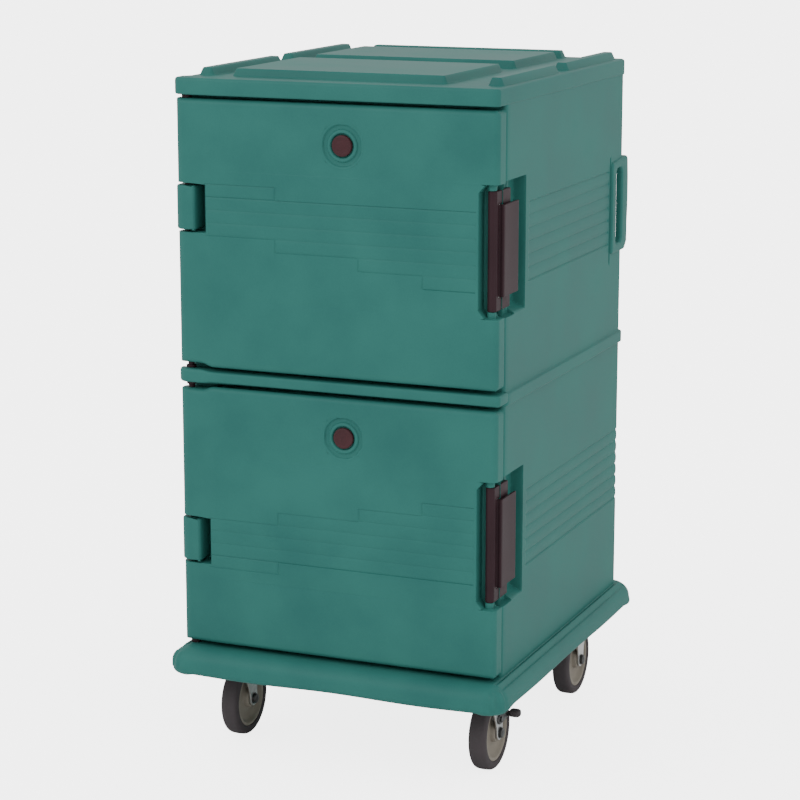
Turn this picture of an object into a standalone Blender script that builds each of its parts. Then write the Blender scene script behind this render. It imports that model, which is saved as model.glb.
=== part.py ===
"""Insulated two-compartment pan cabinet on casters, modelled as the separate pieces it is built from.

Metres, +Z up. The doors face -Y, the latches are on the +X side and the hinges on the -X side.
The origin is on the floor under the middle of the bumper skirt.
"""

import math

import bmesh
import bpy
from mathutils import Matrix, Vector

# Overall sizes
OVERALL_WIDTH = 0.720  # across the bumper skirt
OVERALL_DEPTH = 0.840  # across the bumper skirt
OVERALL_HEIGHT = 1.372  # floor to the top of the lid ribs

# Moulding
SKIN = 0.005  # wall of the moulded skins
CLEAR = 0.0003  # gap between pieces that touch
SINK = 0.002  # how far a feature reaches into what it is moulded on

# Base and bumper skirt
CASTER_HEIGHT = 0.190  # floor to the underside that the casters bolt to
BUMPER_SIDE = 0.032  # how far the skirt stands out from the side walls
BUMPER_END = 0.040  # how far it stands out from the doors and the back
BUMPER_BOTTOM = 0.168
BUMPER_TOP = 0.222
BUMPER_RADIUS = 0.045
BUMPER_ROUND = 0.014
BUMPER_RIM = 0.034  # thickness of the rim that hangs around the casters

# Body
WALL = 0.055  # outer skin, foam and liner together
CORNER_RADIUS = 0.018
FRAME_RADIUS = 0.008
SEAL_SPACE = 0.006  # door back to the front frame behind it

# Lid
LID_THICKNESS = 0.033
LID_OVERHANG = 0.002
RIB_HEIGHT = 0.015
RIB_SLOPE = 0.009
RIB_SIDE = 0.012  # side wall to the edge ribs
RIB_FRONT = 0.058  # door front to the first ribs
EDGE_RIB_WIDTH = 0.035
EDGE_RIB_GAP = (0.0, 0.045)  # where each edge rib is interrupted
EDGE_RIB_END = 0.010
PLATEAU_GAP = 0.047  # edge ribs to the wide plateaus between them
PLATEAU_LEFT = 0.010  # how far a plateau reaches past that gap on the hinge side
PLATEAU_RIGHT = 0.030  # how far it stops short of that gap on the latch side
PLATEAU_SPLIT = (-0.015, 0.050)
BACK_RIB_WIDTH = 0.040
BACK_RIB_GAP = 0.015

# Doors
DOOR_THICKNESS = 0.038
DOOR_ROUND = 0.010
DOOR_LAND = 0.020  # how far a door overlaps its opening, above and below
PLUG_DEPTH = 0.020  # insulating bulge on the back of a door
PLUG_CLEAR = 0.011  # gap between that bulge and the opening
GAP_LID = 0.007
GAP_RAIL_ABOVE = 0.0085
GAP_RAIL_BELOW = 0.0095
GAP_SKIRT = 0.008
GASKET_WIDTH = 0.020

# Middle rail and side bead
RAIL_THICKNESS = 0.021
BEAD_PROUD = 0.006
BEAD_DROP = 0.0065  # bead underside below the rail underside
BEAD_THICKNESS = 0.025

# Hinges
HINGE_INSET = 0.007  # hinge axis inboard of the side wall
BARREL_SPACE = 0.0015  # gap from the hinge barrels to the front frame
BARREL_RADIUS = 0.0195
FACET_WIDTH = 0.066  # side wall to the end of the angled strip beside the hinge barrel
KNUCKLE_HEIGHT = 0.0865
KNUCKLE_ARM = 0.024  # hinge axis to the knuckle's inner edge
KNUCKLE_SHOULDER = 0.0117  # how far that edge reaches in front of the hinge axis
KNUCKLE_SHIFT = 0.051  # knuckle centre above or below the door centre
NOTCH_GAP = 0.004  # door notch above and below the knuckle
NOTCH_ARM = 0.0465  # hinge axis to the notch's inner edge
RAIL_KNUCKLE = 0.027  # height of the knuckle in the middle rail
PIN_RADIUS = 0.0065
PIN_REACH = 0.030  # how far a pin goes into a barrel
PIN_SEAT = 0.011  # how far an end pin goes into the rail
COLLAR_RADIUS = 0.010

# Compartments
RAIL_LEVELS = 6  # as many of these as the height takes
RAIL_PITCH = 0.074
RAIL_FIRST = 0.045
RAIL_DEPTH = 0.016
RAIL_HEIGHT = 0.012
RAIL_END = 0.025  # gap from a pan rail to the back wall
RAIL_START = 0.036  # gap from the front frame to a pan rail

# Vents
VENT_X = 0.015
VENT_DROP = 0.077  # vent axis below the door top
VENT_DISH = 0.040
VENT_RING = 0.0285
VENT_CAP = 0.0205
VENT_STEM = 0.010
VENT_DISH_DEPTH = 0.004
VENT_CAP_DEPTH = 0.006

# Latches
POST_BEHIND = 0.019  # latch post behind the door front
POST_INSET = 0.0185  # latch post inboard of the door's edge
POST_RADIUS = 0.0085
LATCH_BAR_RADIUS = 0.009
LATCH_HALF = 0.113  # half the height of the latch link
RECESS_HALF = 0.125  # half the height of the door's recess for it
RECESS_WIDTH = 0.040
RECESS_FLANGE = 0.006  # door flange left behind the latch bar
FLANGE_SETBACK = 0.020
ARM_INNER = 0.003  # latch plate's inner face outboard of the latch post's axis
ARM_THICKNESS = 0.006
ARM_REACH = 0.070  # latch post to the end of the link
WINDOW_HALF = 0.088
WINDOW_START = 0.008  # latch post to the link's window
WINDOW_WIDTH = 0.024
PADDLE_HALF = 0.0865
PADDLE_START = 0.012  # latch post to the paddle's near edge
PADDLE_REACH = 0.092  # latch post to the paddle's far edge
PADDLE_THICKNESS = 0.005
PADDLE_PROUD = 0.004  # gap from the link's face to the paddle
PADDLE_PIVOT = 0.017  # latch post to the paddle's pin
PADDLE_BARREL = 0.0055
LATCH_PIN = 0.003
PADDLE_PIN = 0.0015
PADDLE_PIN_END = 0.010  # how far that pin goes into the link past its window
POCKET_HALF = 0.128
POCKET_START = 0.050  # front frame to the deep pocket
POCKET_END = 0.108  # front frame to the back of the pocket
POCKET_DEPTH = 0.025
STEP_DEPTH = 0.0155  # seat for the link in front of the pocket
LIP_WIDTH = 0.010
LIP_RELIEF = 0.0142  # side wall to the lip that the link lies on

# Rear grips
GRIP_HALF = 0.100
GRIP_WIDTH = 0.107
GRIP_BEHIND = 0.020  # how far the grip reaches behind the back wall
GRIP_THICKNESS = 0.025
GRIP_PROUD = 0.005
GRIP_BORDER = 0.026
GRIP_BAR = 0.041
GRIP_WINDOW_HALF = 0.080
GRIP_RECESS = 0.045  # depth of the hand space from the side wall
GRIP_RADIUS = 0.012

# Casters
CASTER_INSET = 0.007  # caster plate to the side wall and to the front frame
REAR_INSET = 0.071  # caster plate to the back wall
WHEEL_RADIUS = 0.0762
TYRE_WIDTH = 0.036
TRAIL = 0.024
PLATE_WIDTH = 0.102
PLATE_LENGTH = 0.114
PLATE_THICKNESS = 0.005
BOLT_WIDTH = 0.076
BOLT_LENGTH = 0.092
STUD_RADIUS = 0.004
NUT_RADIUS = 0.0075
NUT_HEIGHT = 0.006
BACKING_THICKNESS = 0.004
FORK_GAP = 0.0015  # fork leg to tyre
FORK_METAL = 0.004
CROWN_CLEAR = 0.0056  # fork crown above the tyre
CROWN_METAL = 0.006
RACE_RADIUS = 0.034
AXLE_RADIUS = 0.006
AXLE_HEAD = 0.0095
AXLE_HEAD_HEIGHT = 0.006
LEG_END = 0.015  # radius of a fork leg round the axle
SWIVEL_LEG = (-0.028, 0.040)  # top of a swivel fork's leg, before and behind the kingpin
RIGID_LEG = 0.045  # half the top of a rigid fork's leg
TYRE_SHOULDER = 0.007
HUB_RIM = 0.008
HUB_SLOPE = 0.003
HUB_WEB = 0.006  # half the thickness of the hub's disc
HUB_RADIUS = 0.058
BOSS_RADIUS = 0.019
WHEEL_STEPS = 20  # facets round a wheel, a multiple of four so that one corner meets the floor
KINGPIN_HEAD = 0.0025
KINGPIN_NUT = 0.005
BRAKE_FORWARD = 0.006  # brake pivot in front of the axle
BRAKE_ABOVE = 0.030  # and above it
BRAKE_METAL = 0.003
BRAKE_HEEL = 0.010
BRAKE_REACH = 0.050
PAD_LENGTH = 0.022
PAD_WIDTH = 0.0235
PAD_LOW, PAD_HIGH = -0.010, 0.004  # from the height of the pivot
BRAKE_PIN = 0.003
BRAKE_PIN_HEAD = 0.006

# Fill ports for the foam
PORT_RADIUS = 0.020
DOOR_PORT_RADIUS = 0.010
PORT_FLANGE = 0.004
PORT_FLANGE_THICKNESS = 0.002

# Places worked out from the sizes above
BODY_X = OVERALL_WIDTH / 2 - BUMPER_SIDE
DOOR_FRONT = -(OVERALL_DEPTH / 2 - BUMPER_END)
DOOR_BACK = DOOR_FRONT + DOOR_THICKNESS
FRAME_Y = DOOR_BACK + SEAL_SPACE
BACK_Y = OVERALL_DEPTH / 2 - BUMPER_END
DOOR_RIGHT = BODY_X + 0.002
LID_TOP = OVERALL_HEIGHT - RIB_HEIGHT
LID_BOTTOM = LID_TOP - LID_THICKNESS
STACK_GAPS = GAP_LID + GAP_RAIL_ABOVE + RAIL_THICKNESS + GAP_RAIL_BELOW + GAP_SKIRT
DOOR_HEIGHT = (LID_BOTTOM - BUMPER_TOP - STACK_GAPS) / 2
DOOR_BOTTOM = {"lower": BUMPER_TOP + GAP_SKIRT, "upper": LID_BOTTOM - GAP_LID - DOOR_HEIGHT}
DOOR_MIDDLE = {level: bottom + DOOR_HEIGHT / 2 for level, bottom in DOOR_BOTTOM.items()}
RAIL_BOTTOM = DOOR_BOTTOM["lower"] + DOOR_HEIGHT + GAP_RAIL_BELOW
RAIL_TOP = RAIL_BOTTOM + RAIL_THICKNESS
KNUCKLE_MIDDLE = {
    "lower": DOOR_MIDDLE["lower"] - KNUCKLE_SHIFT,
    "upper": DOOR_MIDDLE["upper"] + KNUCKLE_SHIFT,
}
HINGE_X = -(BODY_X - HINGE_INSET)
HINGE_Y = FRAME_Y - BARREL_SPACE - BARREL_RADIUS
HINGE = (HINGE_X, HINGE_Y)
FACET_X = -BODY_X + FACET_WIDTH
OPENING_X = BODY_X - WALL
LINER_BACK = BACK_Y - WALL
PLUG_X = OPENING_X - PLUG_CLEAR
PLUG_BACK = DOOR_BACK + PLUG_DEPTH
POST_X = DOOR_RIGHT - POST_INSET
POST_Y = DOOR_FRONT + POST_BEHIND
ARM_X = POST_X + ARM_INNER
PADDLE_X = ARM_X + ARM_THICKNESS + PADDLE_PROUD
PADDLE_PIN_X = ARM_X + ARM_THICKNESS / 2
PADDLE_PIN_Y = POST_Y + PADDLE_PIVOT
GRIP_Z = DOOR_MIDDLE["upper"]
GRIP_BACK = BACK_Y + GRIP_BEHIND
GRIP_FRONT = GRIP_BACK - GRIP_WIDTH
CASTER_X = BODY_X - CASTER_INSET - PLATE_WIDTH / 2
FRONT_PLATE_Y = FRAME_Y + CASTER_INSET + PLATE_LENGTH / 2
REAR_PLATE_Y = BACK_Y - REAR_INSET - PLATE_LENGTH / 2
RACE_TOP = CASTER_HEIGHT - CLEAR - PLATE_THICKNESS
CROWN_BOTTOM = 2 * WHEEL_RADIUS + CROWN_CLEAR
CROWN_TOP = CROWN_BOTTOM + CROWN_METAL
RACE_SPLIT = (CROWN_TOP + RACE_TOP) / 2
FORK_INNER = TYRE_WIDTH / 2 + FORK_GAP
FORK_OUTER = FORK_INNER + FORK_METAL

# Turns a shape drawn in XY and raised along Z so that it is raised along X, or along -Y
TURNS = {
    "X": Matrix(((0, 0, 1), (1, 0, 0), (0, 1, 0))),
    "Y": Matrix(((1, 0, 0), (0, 0, -1), (0, 1, 0))),
    "Z": Matrix.Identity(3),
}


def clear_scene():
    for leftover in list(bpy.data.objects):
        bpy.data.objects.remove(leftover)


def new_group(name):
    group = bpy.data.collections.new(name)
    bpy.context.scene.collection.children.link(group)
    return group


def new_material(name, colour, roughness, metallic=0.0):
    material = bpy.data.materials.new(name)
    material.use_nodes = True
    shader = material.node_tree.nodes["Principled BSDF"]
    shader.inputs["Base Color"].default_value = (*colour, 1.0)
    shader.inputs["Roughness"].default_value = roughness
    shader.inputs["Metallic"].default_value = metallic
    return material


clear_scene()
PARTS = new_group("pan_cabinet")
CUTTERS = new_group("cutters")
GREEN = new_material("green_polyethylene", (0.069, 0.202, 0.162), 0.45)
BROWN = new_material("brown_nylon", (0.060, 0.040, 0.046), 0.40)
FOAM = new_material("white_foam", (0.80, 0.76, 0.62), 0.90)
SEAL = new_material("grey_gasket", (0.10, 0.10, 0.10), 0.60)
ZINC = new_material("zinc_plate", (0.62, 0.62, 0.60), 0.35, 1.0)
HUB_GREY = new_material("hub_plastic", (0.28, 0.25, 0.21), 0.50)
TYRE_GREY = new_material("tyre_rubber", (0.075, 0.062, 0.064), 0.65)


def place(name, mesh, turn, offset, material, pivot):
    """A mesh turned and moved to its place, in an object whose origin is the pivot."""
    mesh.transform(Matrix.Translation(Vector(offset) - Vector(pivot)) @ TURNS[turn].to_4x4())
    part = bpy.data.objects.new(name, mesh)
    part.location = pivot
    if material is None:
        CUTTERS.objects.link(part)
        part.hide_render = True
        part.display_type = "WIRE"
    else:
        PARTS.objects.link(part)
        mesh.materials.clear()
        mesh.materials.append(material)
    return part


def settled(source):
    """The finished mesh of a curve or a modified object, with its seams merged."""
    depsgraph = bpy.context.evaluated_depsgraph_get()
    mesh = bpy.data.meshes.new_from_object(source.evaluated_get(depsgraph))
    bpy.data.objects.remove(source)
    shape = bmesh.new()
    shape.from_mesh(mesh)
    bmesh.ops.remove_doubles(shape, verts=shape.verts, dist=0.00001)
    shape.to_mesh(mesh)
    shape.free()
    return mesh


def block(name, low, high, material=None, pivot=(0, 0, 0)):
    """A box between two opposite corners."""
    size = Vector(high) - Vector(low)
    shape = bmesh.new()
    bmesh.ops.create_cube(shape, size=1.0, matrix=Matrix.Diagonal((*size, 1.0)))
    mesh = bpy.data.meshes.new(name)
    shape.to_mesh(mesh)
    shape.free()
    return place(name, mesh, "Z", (Vector(low) + Vector(high)) / 2, material, pivot)


def prism(name, outline, along, low, high, material=None, pivot=(0, 0, 0)):
    """A flat outline, anticlockwise, given a thickness along X, Y or Z."""
    curve = bpy.data.curves.new(name, "CURVE")
    curve.dimensions = "2D"
    curve.fill_mode = "BOTH"
    curve.extrude = (high - low) / 2
    spline = curve.splines.new("POLY")
    spline.points.add(len(outline) - 1)
    for point, (u, v) in zip(spline.points, outline):
        point.co = (u, v, 0, 1)
    spline.use_cyclic_u = True
    source = bpy.data.objects.new(name, curve)
    CUTTERS.objects.link(source)
    middle = {axis: (low + high) / 2 if axis == along else 0.0 for axis in "XYZ"}
    offset = (middle["X"], middle["Y"], middle["Z"])
    return place(name, settled(source), along, offset, material, pivot)


def turned(name, profile, along, offset, steps, material=None, pivot=(0, 0, 0)):
    """A profile of (radius, height) turned about an axis: closed into a ring unless it ends on the axis."""
    mesh = bpy.data.meshes.new(name)
    last = len(profile) - 1
    edges = [(i, i + 1) for i in range(last)]
    if profile[0][0] > 0:
        edges.append((last, 0))
    mesh.from_pydata([(radius, 0, height) for radius, height in profile], edges, [])
    source = bpy.data.objects.new(name, mesh)
    CUTTERS.objects.link(source)
    screw = source.modifiers.new("turn", "SCREW")
    screw.steps = steps
    screw.render_steps = steps
    screw.use_merge_vertices = True
    screw.merge_threshold = 0.00001
    part = place(name, settled(source), along, offset, material, pivot)
    part.data.set_sharp_from_angle(angle=math.radians(35))
    return part


def rod(name, radius, along, offset, half, steps, material=None, pivot=(0, 0, 0)):
    """A plain cylinder about its middle."""
    profile = [(0, half), (radius, half), (radius, -half), (0, -half)]
    return turned(name, profile, along, offset, steps, material, pivot)


def combine(target, other, operation):
    modifier = target.modifiers.new(other.name, "BOOLEAN")
    modifier.object = other
    modifier.operation = operation
    modifier.solver = "EXACT"


def cut(target, other):
    combine(target, other, "DIFFERENCE")


def join(target, other):
    combine(target, other, "UNION")


def arc(centre, radius, start, end, steps):
    """Points along an arc, in degrees from +X towards +Y, both ends included."""
    angles = [math.radians(start + (end - start) * i / steps) for i in range(steps + 1)]
    return [(centre[0] + radius * math.cos(a), centre[1] + radius * math.sin(a)) for a in angles]


def rounded(low, high, radius, steps=3):
    """A rectangle with round corners, anticlockwise from its lower left."""
    corners = ((low[0], low[1], 180), (high[0], low[1], 270), (high[0], high[1], 0), (low[0], high[1], 90))
    outline = []
    for u, v, start in corners:
        centre = (u + radius if u == low[0] else u - radius, v + radius if v == low[1] else v - radius)
        outline += arc(centre, radius, start, start + 90, steps)
    return outline


def facet_angle():
    """Where the angled strip beside the hinge touches the hinge barrel, in degrees."""
    across = FACET_X - HINGE_X
    back = HINGE_Y - DOOR_FRONT
    reach = math.hypot(across, back)
    return 360 - math.degrees(math.atan2(back, across) + math.acos(BARREL_RADIUS / reach))


AXES = {}


def axis_empty(name, position, parent=None):
    """An empty on a joint axis, which carries the pieces that turn or slide there."""
    empty = bpy.data.objects.new(name, None)
    PARTS.objects.link(empty)
    empty.location = position
    empty.parent = parent
    if parent:
        empty.location -= AXES[parent.name]
    AXES[name] = Vector(position)
    return empty


def carry(parent, *pieces):
    """Hangs pieces that were modelled in place on the empty that moves them."""
    for piece in pieces:
        piece.parent = parent
        piece.location -= AXES[parent.name]


# Cabinet body


def compartment(level, name, grow, material=None):
    """The box of one compartment, grown on every side but the front."""
    bottom = DOOR_BOTTOM[level] + DOOR_LAND - grow
    top = DOOR_BOTTOM[level] + DOOR_HEIGHT - DOOR_LAND + grow
    low = (-OPENING_X - grow, DOOR_FRONT - SKIN, bottom)
    return block(name, low, (OPENING_X + grow, LINER_BACK + grow, top), material)


def body_outline(grow):
    """Plan of the body's walls, grown all round: small corners at the front, larger ones behind."""
    right, front, back = BODY_X + grow, FRAME_Y - grow, BACK_Y + grow
    small, large = FRAME_RADIUS + grow, CORNER_RADIUS + grow
    outline = arc((-right + small, front + small), small, 180, 270, 3)
    outline += arc((right - small, front + small), small, 270, 360, 3)
    outline += arc((right - large, back - large), large, 0, 90, 3)
    return outline + arc((-right + large, back - large), large, 90, 180, 3)


def liner_box(level, name, grow, front):
    """The box that a liner fills, from front to its back wall."""
    bottom = DOOR_BOTTOM[level] + DOOR_LAND - grow
    top = DOOR_BOTTOM[level] + DOOR_HEIGHT - DOOR_LAND + grow
    low, high = (-OPENING_X - grow, front, bottom), (OPENING_X + grow, LINER_BACK + grow, top)
    return low, high, name


def wall_space(name, inset, material=None):
    """The space inside the double wall, which the foam fills."""
    margin = SKIN + inset
    space = prism(name, body_outline(-margin), "Z", CASTER_HEIGHT + margin, LID_TOP - margin, material)
    for level in DOOR_BOTTOM:
        cut(space, compartment(level, f"{name}_{level}_liner", margin))
        middle = DOOR_MIDDLE[level]
        low = (BODY_X - POCKET_DEPTH - margin, FRAME_Y - SKIN, middle - POCKET_HALF - margin)
        high = (BODY_X + SKIN, FRAME_Y + POCKET_END + margin, middle + POCKET_HALF + margin)
        cut(space, block(f"{name}_{level}_pocket", low, high))
    for side in (-1, 1):
        edge = side * (BODY_X - GRIP_RECESS - margin)
        low = (min(edge, side * OVERALL_WIDTH), GRIP_FRONT + GRIP_BORDER - margin, GRIP_Z - GRIP_WINDOW_HALF - margin)
        high = (max(edge, side * OVERALL_WIDTH), OVERALL_DEPTH, GRIP_Z + GRIP_WINDOW_HALF + margin)
        cut(space, block(f"{name}_grip_{side}", low, high))
    return space


def lid_outline():
    right, front, back = BODY_X + LID_OVERHANG, DOOR_FRONT, BACK_Y + LID_OVERHANG
    outline = arc((right - FRAME_RADIUS, front + FRAME_RADIUS), FRAME_RADIUS, 270, 360, 2)
    outline += arc((right - CORNER_RADIUS, back - CORNER_RADIUS), CORNER_RADIUS, 0, 90, 3)
    outline += arc((-right + CORNER_RADIUS, back - CORNER_RADIUS), CORNER_RADIUS, 90, 180, 3)
    outline += [(-right, FRAME_Y + BARREL_RADIUS)]
    outline += arc(HINGE, BARREL_RADIUS, 180, facet_angle(), 4)
    return outline + [(FACET_X, front)]


def lid_rib(shell, name, low, high):
    """A raised rib on the lid with sloping sides, as a bevelled block sunk into the lid."""
    rib = block(name, (*low, LID_TOP - SINK), (*high, OVERALL_HEIGHT))
    shape = bmesh.new()
    shape.from_mesh(rib.data)
    for vertex in shape.verts:
        if vertex.co.z > LID_TOP:
            vertex.co.x += math.copysign(RIB_SLOPE, (low[0] + high[0]) / 2 - vertex.co.x)
            vertex.co.y += math.copysign(RIB_SLOPE, (low[1] + high[1]) / 2 - vertex.co.y)
    shape.to_mesh(rib.data)
    shape.free()
    join(shell, rib)


def add_lid(shell):
    join(shell, prism("lid", lid_outline(), "Z", LID_BOTTOM, LID_TOP))
    side = BODY_X - RIB_SIDE
    deck = side - EDGE_RIB_WIDTH - PLATEAU_GAP
    left, right = -deck - PLATEAU_LEFT, deck - PLATEAU_RIGHT
    front, back = DOOR_FRONT + RIB_FRONT, BACK_Y - RIB_SIDE
    back_rib = back - BACK_RIB_WIDTH
    lid_rib(shell, "front_plateau", (left, front), (right, PLATEAU_SPLIT[0]))
    lid_rib(shell, "rear_plateau", (left, PLATEAU_SPLIT[1]), (right, back_rib - BACK_RIB_GAP))
    lid_rib(shell, "back_rib", (-deck, back_rib), (right, back))
    for edge in (-1, 1):
        runs = (("front", front, EDGE_RIB_GAP[0]), ("rear", EDGE_RIB_GAP[1], back - EDGE_RIB_END))
        for place_name, low, high in runs:
            inner, outer = sorted((edge * (side - EDGE_RIB_WIDTH), edge * side))
            lid_rib(shell, f"edge_rib_{place_name}_{edge}", (inner, low), (outer, high))


def bumper_skirt():
    """The bumper that runs round the foot of the body and hangs a little below its underside."""
    half_x, half_y = OVERALL_WIDTH / 2, OVERALL_DEPTH / 2
    outline = rounded((-half_x, -half_y), (half_x, half_y), BUMPER_RADIUS, 4)
    skirt = prism("bumper_skirt", outline, "Z", BUMPER_BOTTOM, BUMPER_TOP, GREEN)
    bevel = skirt.modifiers.new("round", "BEVEL")
    bevel.width = BUMPER_ROUND
    bevel.segments = 2
    bevel.limit_method = "ANGLE"
    bevel.angle_limit = math.radians(60)
    hole = prism("skirt_hole", body_outline(CLEAR), "Z", BUMPER_BOTTOM - SKIN, BUMPER_TOP + SKIN)
    cut(skirt, hole)
    inner_x, inner_y = half_x - BUMPER_RIM, half_y - BUMPER_RIM
    low = (-inner_x, -inner_y, BUMPER_BOTTOM - SKIN)
    cut(skirt, block("underside", low, (inner_x, inner_y, CASTER_HEIGHT)))
    seat = rod("bottom_pin_bore", PIN_RADIUS + CLEAR, "Z", (*HINGE, BUMPER_TOP), PIN_REACH, 12)
    cut(skirt, seat)


def add_rail(shell):
    """The rail between the doors, its knuckle, and the bead that carries on round the body."""
    right = BODY_X + BEAD_PROUD
    outline = [(FACET_X, DOOR_FRONT), (right - FRAME_RADIUS, DOOR_FRONT)]
    outline += arc((right - FRAME_RADIUS, DOOR_FRONT + FRAME_RADIUS), FRAME_RADIUS, 270, 360, 2)[1:]
    outline += [(right, FRAME_Y + SKIN), (HINGE_X, FRAME_Y + SKIN), (HINGE_X, HINGE_Y)]
    join(shell, prism("middle_rail", outline, "Z", RAIL_BOTTOM, RAIL_TOP))
    middle = (RAIL_BOTTOM + RAIL_TOP) / 2
    add_knuckle(shell, "rail_knuckle", middle, RAIL_KNUCKLE / 2)
    low = (-BODY_X - BEAD_PROUD, FRAME_Y)
    outline = rounded(low, (BODY_X + BEAD_PROUD, BACK_Y + BEAD_PROUD), CORNER_RADIUS)
    bottom = RAIL_BOTTOM - BEAD_DROP
    join(shell, prism("side_bead", outline, "Z", bottom, bottom + BEAD_THICKNESS))


def add_knuckle(shell, name, middle, half):
    """A hinge knuckle: a round nose on the hinge axis and the arm that ties it to the front frame."""
    outline = arc(HINGE, BARREL_RADIUS, 180, 285, 5)
    edge = HINGE_X + KNUCKLE_ARM
    outline += [(edge, HINGE_Y - KNUCKLE_SHOULDER), (edge, FRAME_Y + SKIN)]
    outline += [(HINGE_X - BARREL_RADIUS, FRAME_Y + SKIN)]
    join(shell, prism(name, outline, "Z", middle - half, middle + half))


def grip_prism(name, side, grow, material=None):
    """The grip's plate, grown on every side where its seat is cut."""
    face = side * (BODY_X + GRIP_PROUD + grow)
    inner, outer = sorted((face, face - side * (GRIP_THICKNESS + 2 * grow)))
    low = (GRIP_FRONT - grow, GRIP_Z - GRIP_HALF - grow)
    high = (GRIP_BACK + grow, GRIP_Z + GRIP_HALF + grow)
    return prism(name, rounded(low, high, GRIP_RADIUS + grow), "X", inner, outer, material)


def grips():
    """A hand grip on each back corner: a plate let into the side, with a window for the fingers."""
    for name, side in (("left_grip", -1), ("right_grip", 1)):
        grip = grip_prism(name, side, 0.0, GREEN)
        low = (GRIP_FRONT + GRIP_BORDER, GRIP_Z - GRIP_WINDOW_HALF)
        window = rounded(low, (GRIP_BACK - GRIP_BAR, GRIP_Z + GRIP_WINDOW_HALF), GRIP_RADIUS)
        inner, outer = sorted((side * (BODY_X - GRIP_RECESS), side * OVERALL_WIDTH))
        cut(grip, prism(f"{name}_window", window, "X", inner, outer))


def cut_grip_seats(shell):
    """The hand space in each back corner and the seat for the grip in front of it."""
    for side in (-1, 1):
        inner, outer = sorted((side * (BODY_X - GRIP_RECESS), side * OVERALL_WIDTH))
        low = (inner, GRIP_FRONT + GRIP_BORDER, GRIP_Z - GRIP_WINDOW_HALF)
        cut(shell, block(f"hand_space_{side}", low, (outer, OVERALL_DEPTH, GRIP_Z + GRIP_WINDOW_HALF)))
        cut(shell, grip_prism(f"grip_seat_{side}", side, CLEAR))


def add_latch_seats(shell):
    """Where each latch lies against the side wall: a shallow seat, a lip and a deep finger pocket."""
    for level, middle in DOOR_MIDDLE.items():
        bottom, top = middle - POCKET_HALF, middle + POCKET_HALF
        outside = OVERALL_WIDTH / 2
        low = (BODY_X - STEP_DEPTH, DOOR_FRONT, bottom)
        cut(shell, block(f"{level}_latch_seat", low, (outside, FRAME_Y + POCKET_START, top)))
        low = (BODY_X - POCKET_DEPTH, FRAME_Y + POCKET_START - SINK, bottom)
        cut(shell, block(f"{level}_latch_pocket", low, (outside, FRAME_Y + POCKET_END, top)))
        low = (BODY_X - POCKET_DEPTH - SINK, FRAME_Y + POCKET_START - LIP_WIDTH, bottom - SINK)
        high = (BODY_X - LIP_RELIEF, FRAME_Y + POCKET_START, top + SINK)
        join(shell, block(f"{level}_latch_lip", low, high))


def liner(level):
    """The inner skin of a compartment behind the front frame, with its pan rails."""
    low, high, name = liner_box(level, f"{level}_liner", SKIN, FRAME_Y + SKIN + CLEAR)
    skin = block(name, low, high, GREEN)
    cut(skin, compartment(level, f"{level}_liner_space", 0.0))
    floor = DOOR_BOTTOM[level] + DOOR_LAND
    room = DOOR_HEIGHT - 2 * DOOR_LAND - RAIL_FIRST - RAIL_HEIGHT - SKIN
    for step in range(min(RAIL_LEVELS, 1 + int(room / RAIL_PITCH))):
        bottom = floor + RAIL_FIRST + step * RAIL_PITCH
        for side in (-1, 1):
            inner, outer = sorted((side * (OPENING_X - RAIL_DEPTH), side * (OPENING_X + SINK)))
            low = (inner, FRAME_Y + RAIL_START, bottom)
            high = (outer, LINER_BACK - RAIL_END, bottom + RAIL_HEIGHT)
            join(skin, block(f"{level}_pan_rail_{step}_{side}", low, high))


def caster_places():
    """Name, plate centre and wheel centre of each caster."""
    for side_name, side in (("left", -1), ("right", 1)):
        yield f"front_{side_name}", side * CASTER_X, FRONT_PLATE_Y, FRONT_PLATE_Y + TRAIL
        yield f"rear_{side_name}", side * CASTER_X, REAR_PLATE_Y, REAR_PLATE_Y


def bolt_places(x, y):
    for dx in (-BOLT_WIDTH / 2, BOLT_WIDTH / 2):
        for dy in (-BOLT_LENGTH / 2, BOLT_LENGTH / 2):
            yield x + dx, y + dy


def bolt_holes(target, name, x, y):
    for number, (bolt_x, bolt_y) in enumerate(bolt_places(x, y)):
        offset = (bolt_x, bolt_y, CASTER_HEIGHT)
        cut(target, rod(f"{name}_hole_{number}", STUD_RADIUS + CLEAR, "Z", offset, 2 * SKIN, 8))


def cabinet_shell():
    """The outer skin and front frame, with everything that is moulded on them."""
    shell = prism("cabinet_shell", body_outline(0.0), "Z", CASTER_HEIGHT, LID_BOTTOM + SINK, GREEN)
    add_lid(shell)
    add_rail(shell)
    for level, middle in KNUCKLE_MIDDLE.items():
        add_knuckle(shell, f"{level}_knuckle", middle, KNUCKLE_HEIGHT / 2)
    add_latch_seats(shell)
    cut(shell, wall_space("wall_space", 0.0))
    cut_grip_seats(shell)
    for level in DOOR_BOTTOM:
        cut(shell, compartment(level, f"{level}_compartment", 0.0))
        low, high, name = liner_box(level, f"{level}_liner_seat", SKIN + CLEAR, FRAME_Y + SKIN)
        cut(shell, block(name, low, high))
    for name, pin, half in pin_places():
        cut(shell, rod(f"{name}_bore", PIN_RADIUS + CLEAR, "Z", (*HINGE, pin), half, 12))
    for name, x, plate_y, _ in caster_places():
        bolt_holes(shell, f"{name}_base", x, plate_y)
    cut(shell, rod("fill_port", PORT_RADIUS, "Z", (0, 0, CASTER_HEIGHT), SKIN + SINK, 16))


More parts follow.
